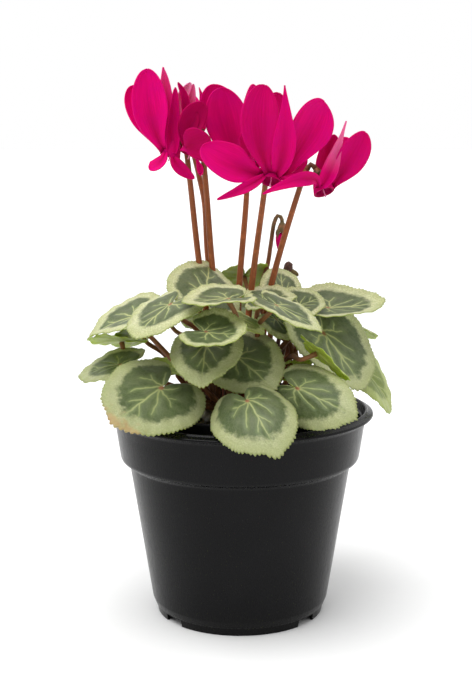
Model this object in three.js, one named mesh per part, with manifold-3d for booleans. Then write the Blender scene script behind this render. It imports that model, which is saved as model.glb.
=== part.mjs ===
// Potted miniature cyclamen: a black outer pot, a thin grower's pot nested in it, soil, a tuber with
// its leaf stalks, heart-shaped leaf blades, six magenta flowers, a bud and a withered bud.
// Millimetres, +Z up. The origin is the centre of the outer pot's foot, and -Y is the front.
import * as THREE from 'three';
import { mergeVertices } from 'three/addons/utils/BufferGeometryUtils.js';
import Module from 'manifold-3d';

const wasm = await Module();
wasm.setup();

// ---- driving dimensions ----
const POT_HEIGHT = 94;
const POT_FOOT_R = 37.8;
const POT_LIP_R = 60;
const POT_WALL = 1.3;
const INNER_RIM_R = 45;
const INNER_RIM_Z = 95.6;
const SOIL_R = 42.6;
const SOIL_Z = 89.5;
const TUBER_R = 21;
const TUBER_TOP = 97;
const BLADE = 0.7;
const MOUTH_R = 4.7;
const LEAF_STALK_R = 1.15;
const FLOWER_STALK_FOOT_R = 1.65;
const FLOWER_STALK_TOP_R = 1.15;
const CLEAR = 0.35;
const LEAF_SECTORS = 22;

const COLOURS = {
  pot: ['#17181a', 0.32],
  inner_pot: ['#0e0f10', 0.4],
  soil: ['#3a261a', 0.95],
  stalk: ['#8a4a30', 0.5],
  leaf: ['#7f9a6b', 0.55],
  petal: ['#d6006a', 0.5],
  withered: ['#5a3326', 0.8],
};

// ---- solids: three.js geometry in, closed body out ----
function toSolid(geometry) {
  const bare = geometry.clone();
  bare.deleteAttribute('normal');
  bare.deleteAttribute('uv');
  const merged = mergeVertices(bare, 1e-4);
  const vertProperties = new Float32Array(merged.attributes.position.array);
  const triVerts = new Uint32Array(merged.index.array);
  return new wasm.Manifold(new wasm.Mesh({ numProp: 3, vertProperties, triVerts }));
}

function toGeometry(solid) {
  const mesh = solid.getMesh();
  const geometry = new THREE.BufferGeometry();
  geometry.setAttribute('position', new THREE.BufferAttribute(new Float32Array(mesh.vertProperties), 3));
  geometry.setIndex(new THREE.BufferAttribute(new Uint32Array(mesh.triVerts), 1));
  geometry.computeVertexNormals();
  return geometry;
}

const group = new THREE.Group();

function addNode(name, solid, colour) {
  const [hex, roughness] = COLOURS[colour];
  const material = new THREE.MeshStandardMaterial({ color: hex, roughness, metalness: 0 });
  const mesh = new THREE.Mesh(toGeometry(solid), material);
  mesh.name = name;
  group.add(mesh);
}

function lathe(profile, segments) {
  const points = profile.map(([r, z]) => new THREE.Vector2(r, z));
  const geometry = new THREE.LatheGeometry(points, segments);
  geometry.rotateX(Math.PI / 2);
  return geometry;
}

function joined(solids) {
  return solids.reduce((sum, solid) => sum.add(solid));
}

// Gives an open sheet a thickness: the same triangles on both faces, and a rim round the border.
function thicken(sheet, thickness) {
  sheet.deleteAttribute('normal');
  sheet.deleteAttribute('uv');
  const merged = mergeVertices(sheet, 1e-4);
  const index = merged.index.array;
  const faces = [];
  for (let i = 0; i < index.length; i += 3) {
    const [a, b, c] = [index[i], index[i + 1], index[i + 2]];
    if (a !== b && b !== c && a !== c) {
      faces.push([a, b, c]);
    }
  }
  merged.setIndex(faces.flat());
  merged.computeVertexNormals();
  const position = merged.attributes.position;
  const normal = merged.attributes.normal;
  const count = position.count;
  const points = [];
  for (const side of [0.5, -0.5]) {
    for (let i = 0; i < count; i++) {
      points.push(position.getX(i) + side * thickness * normal.getX(i));
      points.push(position.getY(i) + side * thickness * normal.getY(i));
      points.push(position.getZ(i) + side * thickness * normal.getZ(i));
    }
  }
  const edges = new Set();
  for (const [a, b, c] of faces) {
    edges.add(`${a} ${b}`).add(`${b} ${c}`).add(`${c} ${a}`);
  }
  const triangles = [];
  for (const [a, b, c] of faces) {
    triangles.push(a, b, c, c + count, b + count, a + count);
    for (const [p, q] of [[a, b], [b, c], [c, a]]) {
      if (!edges.has(`${q} ${p}`)) {
        triangles.push(q, p, p + count, q, p + count, q + count);
      }
    }
  }
  const solid = new THREE.BufferGeometry();
  solid.setAttribute('position', new THREE.Float32BufferAttribute(points, 3));
  solid.setIndex(triangles);
  return solid;
}

// A round stalk along a smooth line through the points, thinning from r0 to r1.
function stalk(points, r0, r1, steps, grow = 0) {
  const line = new THREE.CatmullRomCurve3(points, false, 'centripetal');
  const section = new THREE.Shape();
  for (let i = 0; i < 5; i++) {
    const angle = (i * Math.PI) / 2.5;
    section[i ? 'lineTo' : 'moveTo'](Math.cos(angle), Math.sin(angle));
  }
  const geometry = new THREE.ExtrudeGeometry(section, { steps, bevelEnabled: false, extrudePath: line });
  const centres = line.getSpacedPoints(steps);
  const position = geometry.attributes.position;
  const vertex = new THREE.Vector3();
  for (let i = 0; i < position.count; i++) {
    vertex.fromBufferAttribute(position, i);
    let best = 0;
    for (let k = 1; k <= steps; k++) {
      if (vertex.distanceTo(centres[k]) < vertex.distanceTo(centres[best])) {
        best = k;
      }
    }
    const radius = r0 + ((r1 - r0) * best) / steps + grow;
    vertex.sub(centres[best]).setLength(radius).add(centres[best]);
    position.setXYZ(i, vertex.x, vertex.y, vertex.z);
  }
  return toSolid(geometry);
}

const vec = ([x, y, z]) => new THREE.Vector3(x, y, z);
const rad = THREE.MathUtils.degToRad;

// ---- pots ----
function buildOuterPot() {
  const wall = POT_WALL;
  const profile = [
    [0, 3.2], [POT_FOOT_R - 1.6, 3.2], [POT_FOOT_R - 1.2, 0], [POT_FOOT_R, 0],
    [POT_FOOT_R + 0.4, 3.6], [38.9, 3.9], [49.6, 67.5], [51.2, 70], [53.6, 71.6],
    [55.9, 86], [56.6, 90.6], [POT_LIP_R, 91], [59.9, 92.4], [57, POT_HEIGHT], [56.2, POT_HEIGHT],
    [54.4, 91], [52.3, 73], [49.6 - wall, 69], [39.2 - wall, 6.5], [37, 5], [0, 5], [0, 3.2],
  ];
  let pot = toSolid(lathe(profile, 36));
  for (const angle of [51, -51, 129, -129]) {
    const notch = new THREE.BoxGeometry(11, 6, 6.2);
    notch.translate(0, -POT_FOOT_R + 0.6, 0);
    notch.rotateZ(rad(angle));
    pot = pot.subtract(toSolid(notch));
  }
  return pot;
}

function buildInnerPot() {
  const profile = [
    [0, 5.5], [30.5, 5.5], [31.5, 6.5], [42.9, 88.5], [44.6, 89.4], [INNER_RIM_R, INNER_RIM_Z],
    [44.2, INNER_RIM_Z], [43.7, 90.3], [42, 89], [30.6, 7], [0, 7], [0, 5.5],
  ];
  return toSolid(lathe(profile, 32));
}

// ---- soil: a crumbly disc that fills the inner pot, with bark chips sunk in its top ----
function soilHeight(x, y) {
  const lumps = Math.sin(x * 0.42 + 1) * Math.cos(y * 0.37) + 0.6 * Math.sin(x * 0.9 + y * 0.7);
  return SOIL_Z + 0.7 * lumps;
}

function buildSoil() {
  const profile = [
    [0, 7.5], [30, 7.5], [41, 87], [41.4, SOIL_Z], [34, SOIL_Z], [26, SOIL_Z], [17, SOIL_Z], [8, SOIL_Z],
    [0, SOIL_Z], [0, 7.5],
  ];
  const geometry = lathe(profile, 24);
  const position = geometry.attributes.position;
  for (let i = 0; i < position.count; i++) {
    const [x, y, z] = [position.getX(i), position.getY(i), position.getZ(i)];
    const inside = Math.hypot(x, y) < 40;
    if (inside && z > 80) {
      position.setZ(i, soilHeight(x, y));
    }
  }
  const parts = [toSolid(geometry)];
  for (let i = 0; i < 16; i++) {
    const angle = i * 2.4;
    const radius = 28 + 9.5 * ((i * 0.618) % 1);
    const chip = new THREE.BoxGeometry(5.5 + 3 * ((i * 0.37) % 1), 2.6, 1.8);
    chip.rotateX(0.5 * Math.sin(i * 5));
    chip.rotateZ(i * 1.7);
    const [x, y] = [radius * Math.cos(angle), radius * Math.sin(angle)];
    chip.translate(x, y, soilHeight(x, y) - 0.2);
    parts.push(toSolid(chip));
  }
  return joined(parts);
}

// ---- leaves ----
// name, petiole point, heading (0 = +X, anticlockwise from above), droop of the tip, roll,
// length, half width, arch, fold, the stalk's foot [x, y], the stalk's middle
const LEAVES = [
  ['leaf_01', [-15.1, -5, 146.5], 86, -30, 25, 23, 17.5, 1.5, -2, [-6, -3], [-7, -8, 123]],
  ['leaf_02', [-4.9, -33.9, 147.3], 198, 3, -8, 19, 15, 0, 3, [-5, -7], [-2, -14, 126]],
  ['leaf_03', [-29.6, -26.8, 144], 233, 20, 0, 24, 15.5, 3, 1, [-8, -8], [-16, -5, 126]],
  ['leaf_04', [-46.8, -10, 136], 169, 14, -13, 21.5, 21.5, 4, 6.5, [-11, -2], [-28, -18, 117]],
  ['leaf_05', [-45.5, 15, 125], 118, 32, -6, 18, 13.5, -1, 0, [-14, 5], [-35, 12, 116]],
  ['leaf_06', [-52.8, -1, 124], 142, 8, 15, 17.5, 12, 0.5, 1.5, [-5, -10], [-38, -17, 111]],
  ['leaf_07', [-52.5, -14, 115.6], 165, 9, -22, 19.5, 13.5, 3, 3, [-7, -2], [-35, -9, 107]],
  ['leaf_08', [-33, -40, 110.5], 238, 12, -32, 30.5, 20.5, 3.5, -0.5, [-7, -8], [-27, -26, 104]],
  ['leaf_09', [-29, -4, 113], 139, -5, -7, 18, 10, 1, 0, [-15, -2], [-28, -4, 109]],
  ['leaf_10', [-14, -30, 127], 265, 21, 3, 25, 15.5, 3.5, 2, [-5, -10], [-23, -20, 117]],
  ['leaf_11', [-14, -44, 135], -19, 11, 23, 16.5, 14.5, -4.5, -0.5, [-11, -10], [-15, -15, 127]],
  ['leaf_12', [-2, -19.5, 120.5], 310, 20, 26, 25.5, 18, 2.5, 2, [-1, -7], [-1, -7, 108]],
  ['leaf_13', [3, -54, 108], 290, 11, 19, 25.5, 17.5, 12.5, 0.5, [0, -7], [2, -28, 103]],
  ['leaf_14', [24, -43, 111], 308, 7, 55, 28.5, 13.5, 6.5, -2.5, [4, -6], [13, -22, 104]],
  ['leaf_15', [36.9, -5.3, 128.2], 324, 45, 8, 29.5, 23, 1, 3, [11, 3], [19, 2, 113]],
  ['leaf_16', [39.3, 2, 138.5], 3, 2, 17, 24, 17, -4, 1.5, [4, -6], [20, -6, 124]],
  ['leaf_17', [15.4, -29.4, 143.9], 328, 22, 0, 22, 13, 1, 1.5, [5, -9], [8, -12, 131]],
  ['leaf_18', [9.6, -10.2, 143.6], -1, -6, 16, 14.5, 13, 0, 1.5, [9, -5], [9, -7, 120]],
  ['leaf_19', [19, 12, 143.5], 89, -36, 16, 18, 10.5, 1, 1, [12, 8], [22, 5, 121]],
  ['leaf_20', [2, 32, 149.3], 99, 33, -3, 24, 12, -0.5, -0.5, [1, 7], [14, 16, 124]],
  ['leaf_21', [55.5, 4, 109.8], 23, 40, 43, 26, 14, 6.5, 6, [7, 1], [29, 3, 104]],
  ['leaf_22', [-1, -19, 137], 314, 18, -8, 14.5, 10, 1, 1, [-1, -11], [-9, -9, 117]],
  ['leaf_23', [16, -7, 134.5], 343, 31, 21, 13, 10, 1, 0, [12, 9], [23, 0, 121]],
  ['leaf_24', [22, -12, 116], 101, 25, -9, 15, 9.5, 3, -0.5, [10, -5], [14, -8, 106]],
  ['leaf_25', [-35, 34, 130], 145, 15, 0, 24, 18, 3, 1, [-11, 3], [-19, 14, 119]],
  ['leaf_26', [-10, 33, 133], 105, 25, 0, 25, 18, 3, 1, [-3, 11], [-2, 21, 115]],
  ['leaf_27', [16, 52, 129], 75, 25, 0, 25, 19, 3, 1, [15, 3], [26, 21, 114]],
  ['leaf_28', [43, 25, 131], 30, 20, 0, 25, 18, 3, 1, [10, 6], [23, 18, 115]],
  ['leaf_29', [10, 37, 113], 85, 20, 0, 22, 16, 3, 1, [2, 7], [5, 20, 105]],
  ['leaf_30', [26.3, -6.6, 140.8], 30, -14, 30, 12, 10, 0.5, 3, [12, -1], [20, -5, 124]],
  ['leaf_31', [32.7, -33.7, 124.5], 321, 28, -43, 18.5, 7.5, 1, 0.5, [11, -8], [21.5, -13, 118]],
];

// Distance from the petiole point to the leaf's edge: two back lobes and a blunt tip.
function leafEdge(angle) {
  const turn = Math.abs(angle);
  const body = 0.8 + 0.16 * Math.cos(turn) + 0.04 * Math.cos(3 * turn);
  const cleft = 1 - Math.exp(-Math.pow((Math.PI - turn) / 0.31, 1.5));
  return body * cleft + 0.06 * Math.exp(-Math.pow(turn / 0.16, 2));
}

function leafAxes([, , heading, droop, roll]) {
  const [h, d, r] = [rad(heading), rad(droop), rad(roll)];
  const along = new THREE.Vector3(Math.cos(h) * Math.cos(d), Math.sin(h) * Math.cos(d), -Math.sin(d));
  const level = new THREE.Vector3(-Math.sin(h), Math.cos(h), 0);
  const rise = new THREE.Vector3().crossVectors(along, level);
  const left = level.clone().multiplyScalar(Math.cos(r)).addScaledVector(rise, Math.sin(r));
  const up = rise.clone().multiplyScalar(Math.cos(r)).addScaledVector(level, -Math.sin(r));
  return { along, left, up };
}

function buildLeaf(leaf, number) {
  const [, point, , , , length, halfWidth, arch, fold] = leaf;
  const { along, left, up } = leafAxes(leaf);
  const sheet = new THREE.PlaneGeometry(1, 1, LEAF_SECTORS, 2);
  const position = sheet.attributes.position;
  for (let i = 0; i < position.count; i++) {
    const sector = Math.round((position.getX(i) + 0.5) * LEAF_SECTORS);
    const ring = [0, 0.52, 1][Math.round((position.getY(i) + 0.5) * 2)];
    const angle = rad(-173 + (346 * sector) / LEAF_SECTORS);
    const tooth = ring === 1 ? 1 + 0.014 * (sector % 2 ? 1 : -1) : 1;
    const reach = ring * tooth * leafEdge(angle);
    const x = reach * Math.cos(angle);
    const y = (reach * Math.sin(angle)) / 0.8;
    const bend = -arch * (Math.max(x, 0) ** 2 + 0.7 * y * y) + fold * (Math.sqrt(y * y + 0.01) - 0.1);
    const wave = 0.5 * ring * ring * Math.sin(5 * angle + number * 1.3);
    const spot = vec(point).addScaledVector(along, x * length).addScaledVector(left, y * halfWidth);
    spot.addScaledVector(up, bend + wave);
    position.setXYZ(i, spot.x, spot.y, spot.z);
  }
  return toSolid(thicken(sheet, BLADE));
}

// A leaf stalk rises from the crown of the tuber and meets the blade's underside.
function leafStalkPoints(leaf) {
  const { along, up } = leafAxes(leaf);
  const [, point, , , , , , , , [footX, footY], middle] = leaf;
  const tip = vec(point).addScaledVector(up, -1.05);
  const foot = new THREE.Vector3(footX, footY, TUBER_TOP - 4);
  const reach = foot.distanceTo(tip);
  const near = tip.clone().addScaledVector(up, -0.12 * reach).addScaledVector(along, -0.06 * reach);
  return [foot, vec(middle), near, tip];
}

// ---- flowers ----
// Each petal: root, middle, tip, half width, turn about its own length (0 faces the front), cup,
// point (0 blunt, 1 pointed)
const FLOWERS = [
  {
    name: 'flower_1', mouth: [-30.5, 0, 206], calyx: [-28.5, 1, 213],
    stem: [[-10, 10, 93], [-14, 13, 125], [-18.8, 13, 159.8], [-22.1, 6, 194.2], [-24, 3, 211]],
    petals: [
      [[-33, -3, 208], [-38, -6, 221.9], [-39.6, -4, 242.8], 7.6, 0, 1.5, 0],
      [[-35, 3, 208], [-41.4, 4, 221.4], [-47.3, 5, 236], 6, -10, 1.5, 0],
      [[-31, 0, 208], [-32.4, 0, 227.6], [-33.3, 2, 243.8], 3.2, 0, 1, 0.7],
      [[-29, -2, 208], [-29.3, -3, 211.3], [-27.9, -1, 235.1], 3.2, 0, 1.5, 0.3],
      [[-33, -4, 206], [-34.6, -8, 203.4], [-39, -10, 200.4], 4.2, 40, 0.5, 0],
      [[-29, -3, 205], [-27.5, -5, 202.6], [-19.8, -6, 196.2], 2.8, -10, 0.5, 0.2],
      [[-27, 4, 208], [-23.4, 4, 223], [-27.1, 6, 237.4], 2.1, 0, 1, 0.3],
    ],
  },
  {
    name: 'flower_2', mouth: [-24, 15, 211], calyx: [-23, 15, 217],
    stem: [[-5, 14, 93], [-9.5, 18, 125], [-14.6, 18, 159.3], [-16.1, 17, 184.8], [-18.5, 16, 196.9], [-22, 16, 213]],
    petals: [
      [[-25, 12, 212], [-29.3, 10, 221.6], [-21.8, 11, 237.5], 2.9, 0, 1, 0],
      [[-23, 12, 213], [-22.5, 9, 222.1], [-20.6, 11, 236.9], 2.7, 10, 1, 0.5],
      [[-23, 16, 212], [-16.9, 19, 222.7], [-18.3, 20, 235.7], 3.6, 30, 1, 0.8],
      [[-25, 19, 212], [-25, 25, 224], [-25, 30, 234], 7, -10, 1, 0],
      [[-26, 17, 212], [-29, 22, 221], [-30, 26, 232], 6.5, 10, 1, 0],
    ],
  },
  {
    name: 'flower_3', mouth: [-21.5, -8, 207], calyx: [-19.5, -7, 212],
    stem: [[-6, 6, 93], [-9.5, 12, 125], [-12.9, 13, 159.8], [-14.8, 4, 189.9], [-16, -3, 206]],
    petals: [
      [[-20, -6, 209], [-21.5, -6, 218.6], [-14.6, -5, 227.5], 5.6, 0, 1, 0],
      [[-24, -11, 207], [-20.4, -14, 210.6], [-12.7, -16, 213.6], 7.2, 0, 1, 0],
      [[-20, -11, 206], [-17, -13, 205.8], [-13, -15, 205.8], 1.6, 0, 0.5, 0],
      [[-20, -4, 206], [-17.4, -3, 200.6], [-17.4, -3, 197.6], 1.6, 20, 0.3, 0],
      [[-23, -5, 208], [-23, -6, 217], [-20, -5, 226], 4.5, 0, 1, 0],
    ],
  },
  {
    name: 'flower_4', mouth: [13, -22, 196], calyx: [14, -19, 201],
    stem: [[1.6, -4, 93], [2.6, -1, 120], [5, -1, 147], [10.7, -12, 193], [12, -15, 205]],
    petals: [
      [[12, -26, 198], [7.9, -30, 215.5], [10.3, -26, 235.3], 8, 0, 1.5, 0],
      [[15, -26, 198], [18.1, -31, 210.8], [18.3, -29, 235.1], 5.4, 0, 1, 1],
      [[18, -22, 197], [27.5, -24, 214.1], [35.5, -20, 228.5], 9.2, 10, 1.5, 0],
      [[9, -24, 197], [-1.5, -29, 202.1], [-15.7, -28, 210.5], 8.1, 15, 1.5, 0],
      [[10, -26, 196], [3.5, -30, 194.1], [-9.5, -31, 188.5], 2.6, 10, 0.5, 0.7],
      [[17, -25, 196], [20.5, -26, 196.6], [26, -26, 197.8], 2.2, 0, 0.5, 0],
    ],
  },
  {
    name: 'flower_5', mouth: [36, -12, 191], calyx: [34, -9, 197],
    stem: [[7, 2, 93], [9.6, 4, 120], [13.8, 2, 148], [25.6, -5, 191], [28.3, -7, 199]],
    petals: [
      [[35, -15, 192], [38.2, -17, 200.6], [45.1, -13, 220.7], 3.7, 0, 0.8, 1],
      [[39, -12, 192], [45.7, -14, 202.4], [53.7, -11, 215.9], 6.4, 0, 1.5, 0],
      [[34, -9, 193], [36.7, -6, 201.2], [41.3, -3, 214.8], 4.8, 0, 1, 0],
      [[33, -17, 190.5], [27.6, -27, 197], [9.3, -36, 191.2], 3.3, 0, 0.5, 0.7],
      [[38, -8, 192], [44, -4, 204], [48, 0, 213], 6, 0, 1, 0],
    ],
  },
  {
    name: 'flower_6', mouth: [3, 10, 199], calyx: [4, 11, 205],
    stem: [[-2.4, 2, 93], [-1.4, 6, 120], [-0.3, 7, 148], [3, 10, 190], [3, 12, 206]],
    petals: [
      [[0, 6, 200], [-4.9, 2, 216], [-8.1, 2, 235], 9.4, 0, 1.5, 0],
      [[-2, 8, 201], [-8.2, 6, 221.8], [-10.9, 6, 236.6], 7.8, 0, 1, 0],
      [[3, 14, 201], [4.9, 16, 218.6], [5.7, 16, 237], 5.6, 20, 1, 0],
      [[5, 11, 201], [12.5, 10, 218.3], [17, 10, 233.1], 6.4, -15, 1, 0],
      [[5, 6, 199], [20.5, -2, 199.3], [27.8, -2, 206.6], 3.4, 0, 1, 0],
      [[1, 16, 199], [-5, 27, 212], [-5, 30, 229], 8, 0, 1, 0],
      [[3, 4, 199], [4, -3, 209], [3, -5, 219], 4.5, 0, 1, 0],
    ],
  },
];

function buildPetal([root, middle, tip, halfWidth, turn, cup, point], mouth, direction) {
  const line = new THREE.QuadraticBezierCurve3();
  const outwards = vec(root).sub(mouth);
  outwards.addScaledVector(direction, -outwards.dot(direction));
  line.v0 = mouth.clone().addScaledVector(direction, -1.1).add(outwards.setLength(MOUTH_R - 0.7));
  line.v2 = vec(tip);
  line.v1 = vec(middle).multiplyScalar(2).addScaledVector(line.v0, -0.5).addScaledVector(line.v2, -0.5);
  const sheet = new THREE.PlaneGeometry(1, 1, 3, 5);
  const position = sheet.attributes.position;
  const front = new THREE.Vector3(0, -1, 0);
  for (let i = 0; i < position.count; i++) {
    const side = 2 * position.getX(i);
    const row = Math.round((position.getY(i) + 0.5) * 5);
    const t = 1 - (1 - row / 5) ** 1.5;
    const centre = line.getPoint(t);
    const tangent = line.getTangent(t);
    const across = new THREE.Vector3().crossVectors(front, tangent).normalize();
    const face = new THREE.Vector3().crossVectors(tangent, across).normalize();
    const twist = rad(turn);
    const lateral = across.clone().multiplyScalar(Math.cos(twist)).addScaledVector(face, Math.sin(twist));
    const outward = face.clone().multiplyScalar(Math.cos(twist)).addScaledVector(across, -Math.sin(twist));
    const width = halfWidth * petalWidth(t, point);
    centre.addScaledVector(lateral, side * width);
    centre.addScaledVector(outward, cup * petalWidth(t, point) * (side * side - 0.5));
    position.setXYZ(i, centre.x, centre.y, centre.z);
  }
  return toSolid(thicken(sheet, BLADE + 0.1));
}

// Narrow at the root. A blunt petal is widest near its round tip, a pointed one below the middle.
function petalWidth(t, point) {
  const rise = Math.sin((Math.PI / 2) * Math.min(1, t / 0.68));
  const fall = Math.sqrt(Math.max(0.002, 1 - Math.max(0, (t - 0.68) / 0.32) ** 2));
  const blunt = 0.25 * (1 - t) ** 2 + 0.98 * rise ** 1.7 * fall;
  const swell = Math.sin(3.016 * t ** 0.75 + 0.1) ** 1.3;
  const pointed = 0.3 * (1 - t) + 0.93 * swell * Math.min(1, 0.25 + 1.2 * t) + 0.02;
  return blunt + (pointed - blunt) * point;
}

function alongAxis(geometry, start, direction) {
  const turn = new THREE.Quaternion().setFromUnitVectors(new THREE.Vector3(0, 0, 1), direction);
  geometry.applyQuaternion(turn);
  geometry.translate(start.x, start.y, start.z);
  return toSolid(geometry);
}

function buildCorolla({ mouth, calyx, petals }) {
  const start = vec(calyx);
  const direction = vec(mouth).sub(start);
  const length = direction.length() + 0.6;
  direction.normalize();
  const profile = [
    [0, 0.3], [2.4, 0.3], [3.8, length * 0.45], [MOUTH_R, length],
    [MOUTH_R - 1, length], [MOUTH_R - 1.6, length - 2.2], [0, length - 3], [0, 0.3],
  ];
  const tube = alongAxis(lathe(profile, 9), start, direction);
  return joined([tube, ...petals.map((petal) => buildPetal(petal, vec(mouth), direction))]);
}

function flowerStalk({ mouth, calyx, stem }, grow = 0) {
  const start = vec(calyx);
  const direction = vec(mouth).sub(start).normalize();
  const top = start.clone().addScaledVector(direction, -3.2);
  const over = start.clone().addScaledVector(direction, -6.2);
  over.lerp(vec(stem[stem.length - 1]), 0.35);
  over.z = Math.max(over.z, top.z + 2.6);
  const points = [...stem.map(vec), over, top];
  const body = stalk(points, FLOWER_STALK_FOOT_R, FLOWER_STALK_TOP_R, 15, grow);
  const profile = [[0, -4.2], [1.1 + grow, -4.2], [2.5 + grow, -1.2], [2.2 + grow, 0], [0, 0], [0, -4.2]];
  return body.add(alongAxis(lathe(profile, 6), start, direction));
}

// ---- put together ----
const outerPot = buildOuterPot();
const innerPot = buildInnerPot();

const tuberParts = [];
const dome = new THREE.SphereGeometry(TUBER_R, 16, 8);
dome.scale(1, 1, 0.46);
dome.translate(0, 0, TUBER_TOP - 0.46 * TUBER_R);
tuberParts.push(toSolid(dome));
for (const leaf of LEAVES) {
  tuberParts.push(stalk(leafStalkPoints(leaf), LEAF_STALK_R + 0.25, LEAF_STALK_R - 0.15, 6));
}
let tuber = joined(tuberParts);
const leafStalkSpace = LEAVES.map((leaf) => (
  stalk(leafStalkPoints(leaf), LEAF_STALK_R + 0.25, LEAF_STALK_R - 0.15, 6, CLEAR)
));

const flowerStalks = FLOWERS.map((flower) => flowerStalk(flower));
const fatStalks = FLOWERS.map((flower) => flowerStalk(flower, CLEAR));
const corollas = FLOWERS.map(buildCorolla);

// The bud hangs from the hook of its own stalk.
const BUD_STALK = [
  [8, 13, 93], [7.5, 24, 125], [10, 29.5, 145], [12.8, 28, 155], [14.2, 24, 165], [15.7, 20, 175.5], [17.3, 20, 178.5],
  [18.9, 20, 177.5], [19.2, 20, 174.9],
];
const budDirection = new THREE.Vector3(-0.1, 0, -1).normalize();
const budStart = new THREE.Vector3(19.2, 20, 174.3);
function budStalkSolid(grow) {
  const line = stalk(BUD_STALK.map(vec), FLOWER_STALK_FOOT_R - 0.1, FLOWER_STALK_TOP_R - 0.1, 16, grow);
  const cup = [[0, -1.5], [1.2 + grow, -1], [2 + grow, 1.5], [1.9 + grow, 3.6], [0, 3.6], [0, -1.5]];
  return line.add(alongAxis(lathe(cup, 8), budStart, budDirection));
}
const budStalk = budStalkSolid(0);
const budProfile = [[0, 3.9], [1.7, 3.9], [2.1, 6], [1.6, 9.5], [0.7, 12.2], [0, 12.8], [0, 3.9]];
const budPetals = alongAxis(lathe(budProfile, 10), budStart, budDirection);

const witheredStalk = [[13, 14, 93], [18, 24, 120], [21, 29, 140], [22, 30, 152]].map(vec);
const withered = stalk(witheredStalk, 1.2, 0.8, 10);
const witheredHead = new THREE.SphereGeometry(3, 8, 6);
witheredHead.scale(0.75, 0.7, 1.05);
witheredHead.translate(22.5, 30, 153.4);
const witheredTip = new THREE.ConeGeometry(1.6, 6, 7);
witheredTip.rotateZ(rad(-125));
witheredTip.translate(25.2, 30, 151.2);
const witheredBud = joined([withered, toSolid(witheredHead), toSolid(witheredTip)]);

const standing = [...fatStalks, budStalkSolid(CLEAR), stalk(witheredStalk, 1.2, 0.8, 10, CLEAR)];
for (const solid of standing) {
  tuber = tuber.subtract(solid);
}

let soil = buildSoil();
const tuberHollow = new THREE.SphereGeometry(TUBER_R + CLEAR + 0.4, 16, 8);
tuberHollow.scale(1, 1, 0.49);
tuberHollow.translate(0, 0, TUBER_TOP - 0.46 * TUBER_R);
soil = soil.subtract(toSolid(tuberHollow));

addNode('outer_pot', outerPot, 'pot');
addNode('inner_pot', innerPot, 'inner_pot');
addNode('soil', soil, 'soil');
addNode('tuber_and_leaf_stalks', tuber, 'stalk');
LEAVES.forEach((leaf, number) => {
  let blade = buildLeaf(leaf, number);
  leafStalkSpace.forEach((space, other) => {
    if (other !== number) {
      blade = blade.subtract(space);
    }
  });
  for (const space of standing) {
    blade = blade.subtract(space);
  }
  addNode(leaf[0], blade, 'leaf');
});
FLOWERS.forEach((flower, i) => {
  addNode(`${flower.name}_petals`, corollas[i].subtract(fatStalks[i]), 'petal');
  addNode(`${flower.name}_stalk`, flowerStalks[i], 'stalk');
});
addNode('bud_petals', budPetals, 'petal');
addNode('bud_stalk', budStalk, 'stalk');
addNode('withered_bud', witheredBud, 'withered');

export default group;
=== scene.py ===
"""Potted miniature cyclamen: the looks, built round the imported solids.

Tables and helper functions work in millimetres; meshes are stored in metres.
"""

import random
from collections import namedtuple
from math import cos, exp, pi, radians, sin, sqrt

import bmesh
import bpy
import numpy as np
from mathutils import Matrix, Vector, noise


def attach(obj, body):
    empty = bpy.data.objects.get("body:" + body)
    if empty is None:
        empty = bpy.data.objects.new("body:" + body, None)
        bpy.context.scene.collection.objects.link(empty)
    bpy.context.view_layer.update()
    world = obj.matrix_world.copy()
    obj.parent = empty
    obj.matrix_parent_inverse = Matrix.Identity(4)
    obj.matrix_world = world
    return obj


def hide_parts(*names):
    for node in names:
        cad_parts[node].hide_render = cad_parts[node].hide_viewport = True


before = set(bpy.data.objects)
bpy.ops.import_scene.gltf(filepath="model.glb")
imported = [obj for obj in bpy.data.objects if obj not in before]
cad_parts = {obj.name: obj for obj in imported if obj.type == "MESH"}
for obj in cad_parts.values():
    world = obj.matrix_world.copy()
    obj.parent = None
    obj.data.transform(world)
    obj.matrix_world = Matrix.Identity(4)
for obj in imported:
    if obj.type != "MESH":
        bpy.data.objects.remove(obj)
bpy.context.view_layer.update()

MM = 0.001
UP = Vector((0, 0, 1))


# ---- camera, light, floor ----
# Where the camera stands (m), how far it looks down (degrees), its lens (mm) and sideways shift.
CAMERA_PLACE = (0, -0.560, 0.2178)
CAMERA_PITCH = 9.84
CAMERA_LENS = 65.6
CAMERA_SHIFT = -0.00575
# The soft sun: the way it shines from, its strength and how wide it looks (degrees).
SUN_FROM = (-0.32, -0.42, 1.35)
SUN_STRENGTH = 2.0
SUN_WIDTH = 48
# The white dome's strength before the plant and behind it.
DOME_FRONT, DOME_BACK = 0.35, 1.0
FLOOR_REACH = 12


def make_camera():
    data = bpy.data.cameras.new("camera")
    data.sensor_width = 36
    data.lens = CAMERA_LENS
    data.shift_x = CAMERA_SHIFT
    data.clip_start, data.clip_end = 0.01, 50
    camera = bpy.data.objects.new("camera", data)
    camera.location = CAMERA_PLACE
    camera.rotation_euler = (radians(90 - CAMERA_PITCH), 0, 0)
    bpy.context.collection.objects.link(camera)
    bpy.context.scene.camera = camera


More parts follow.
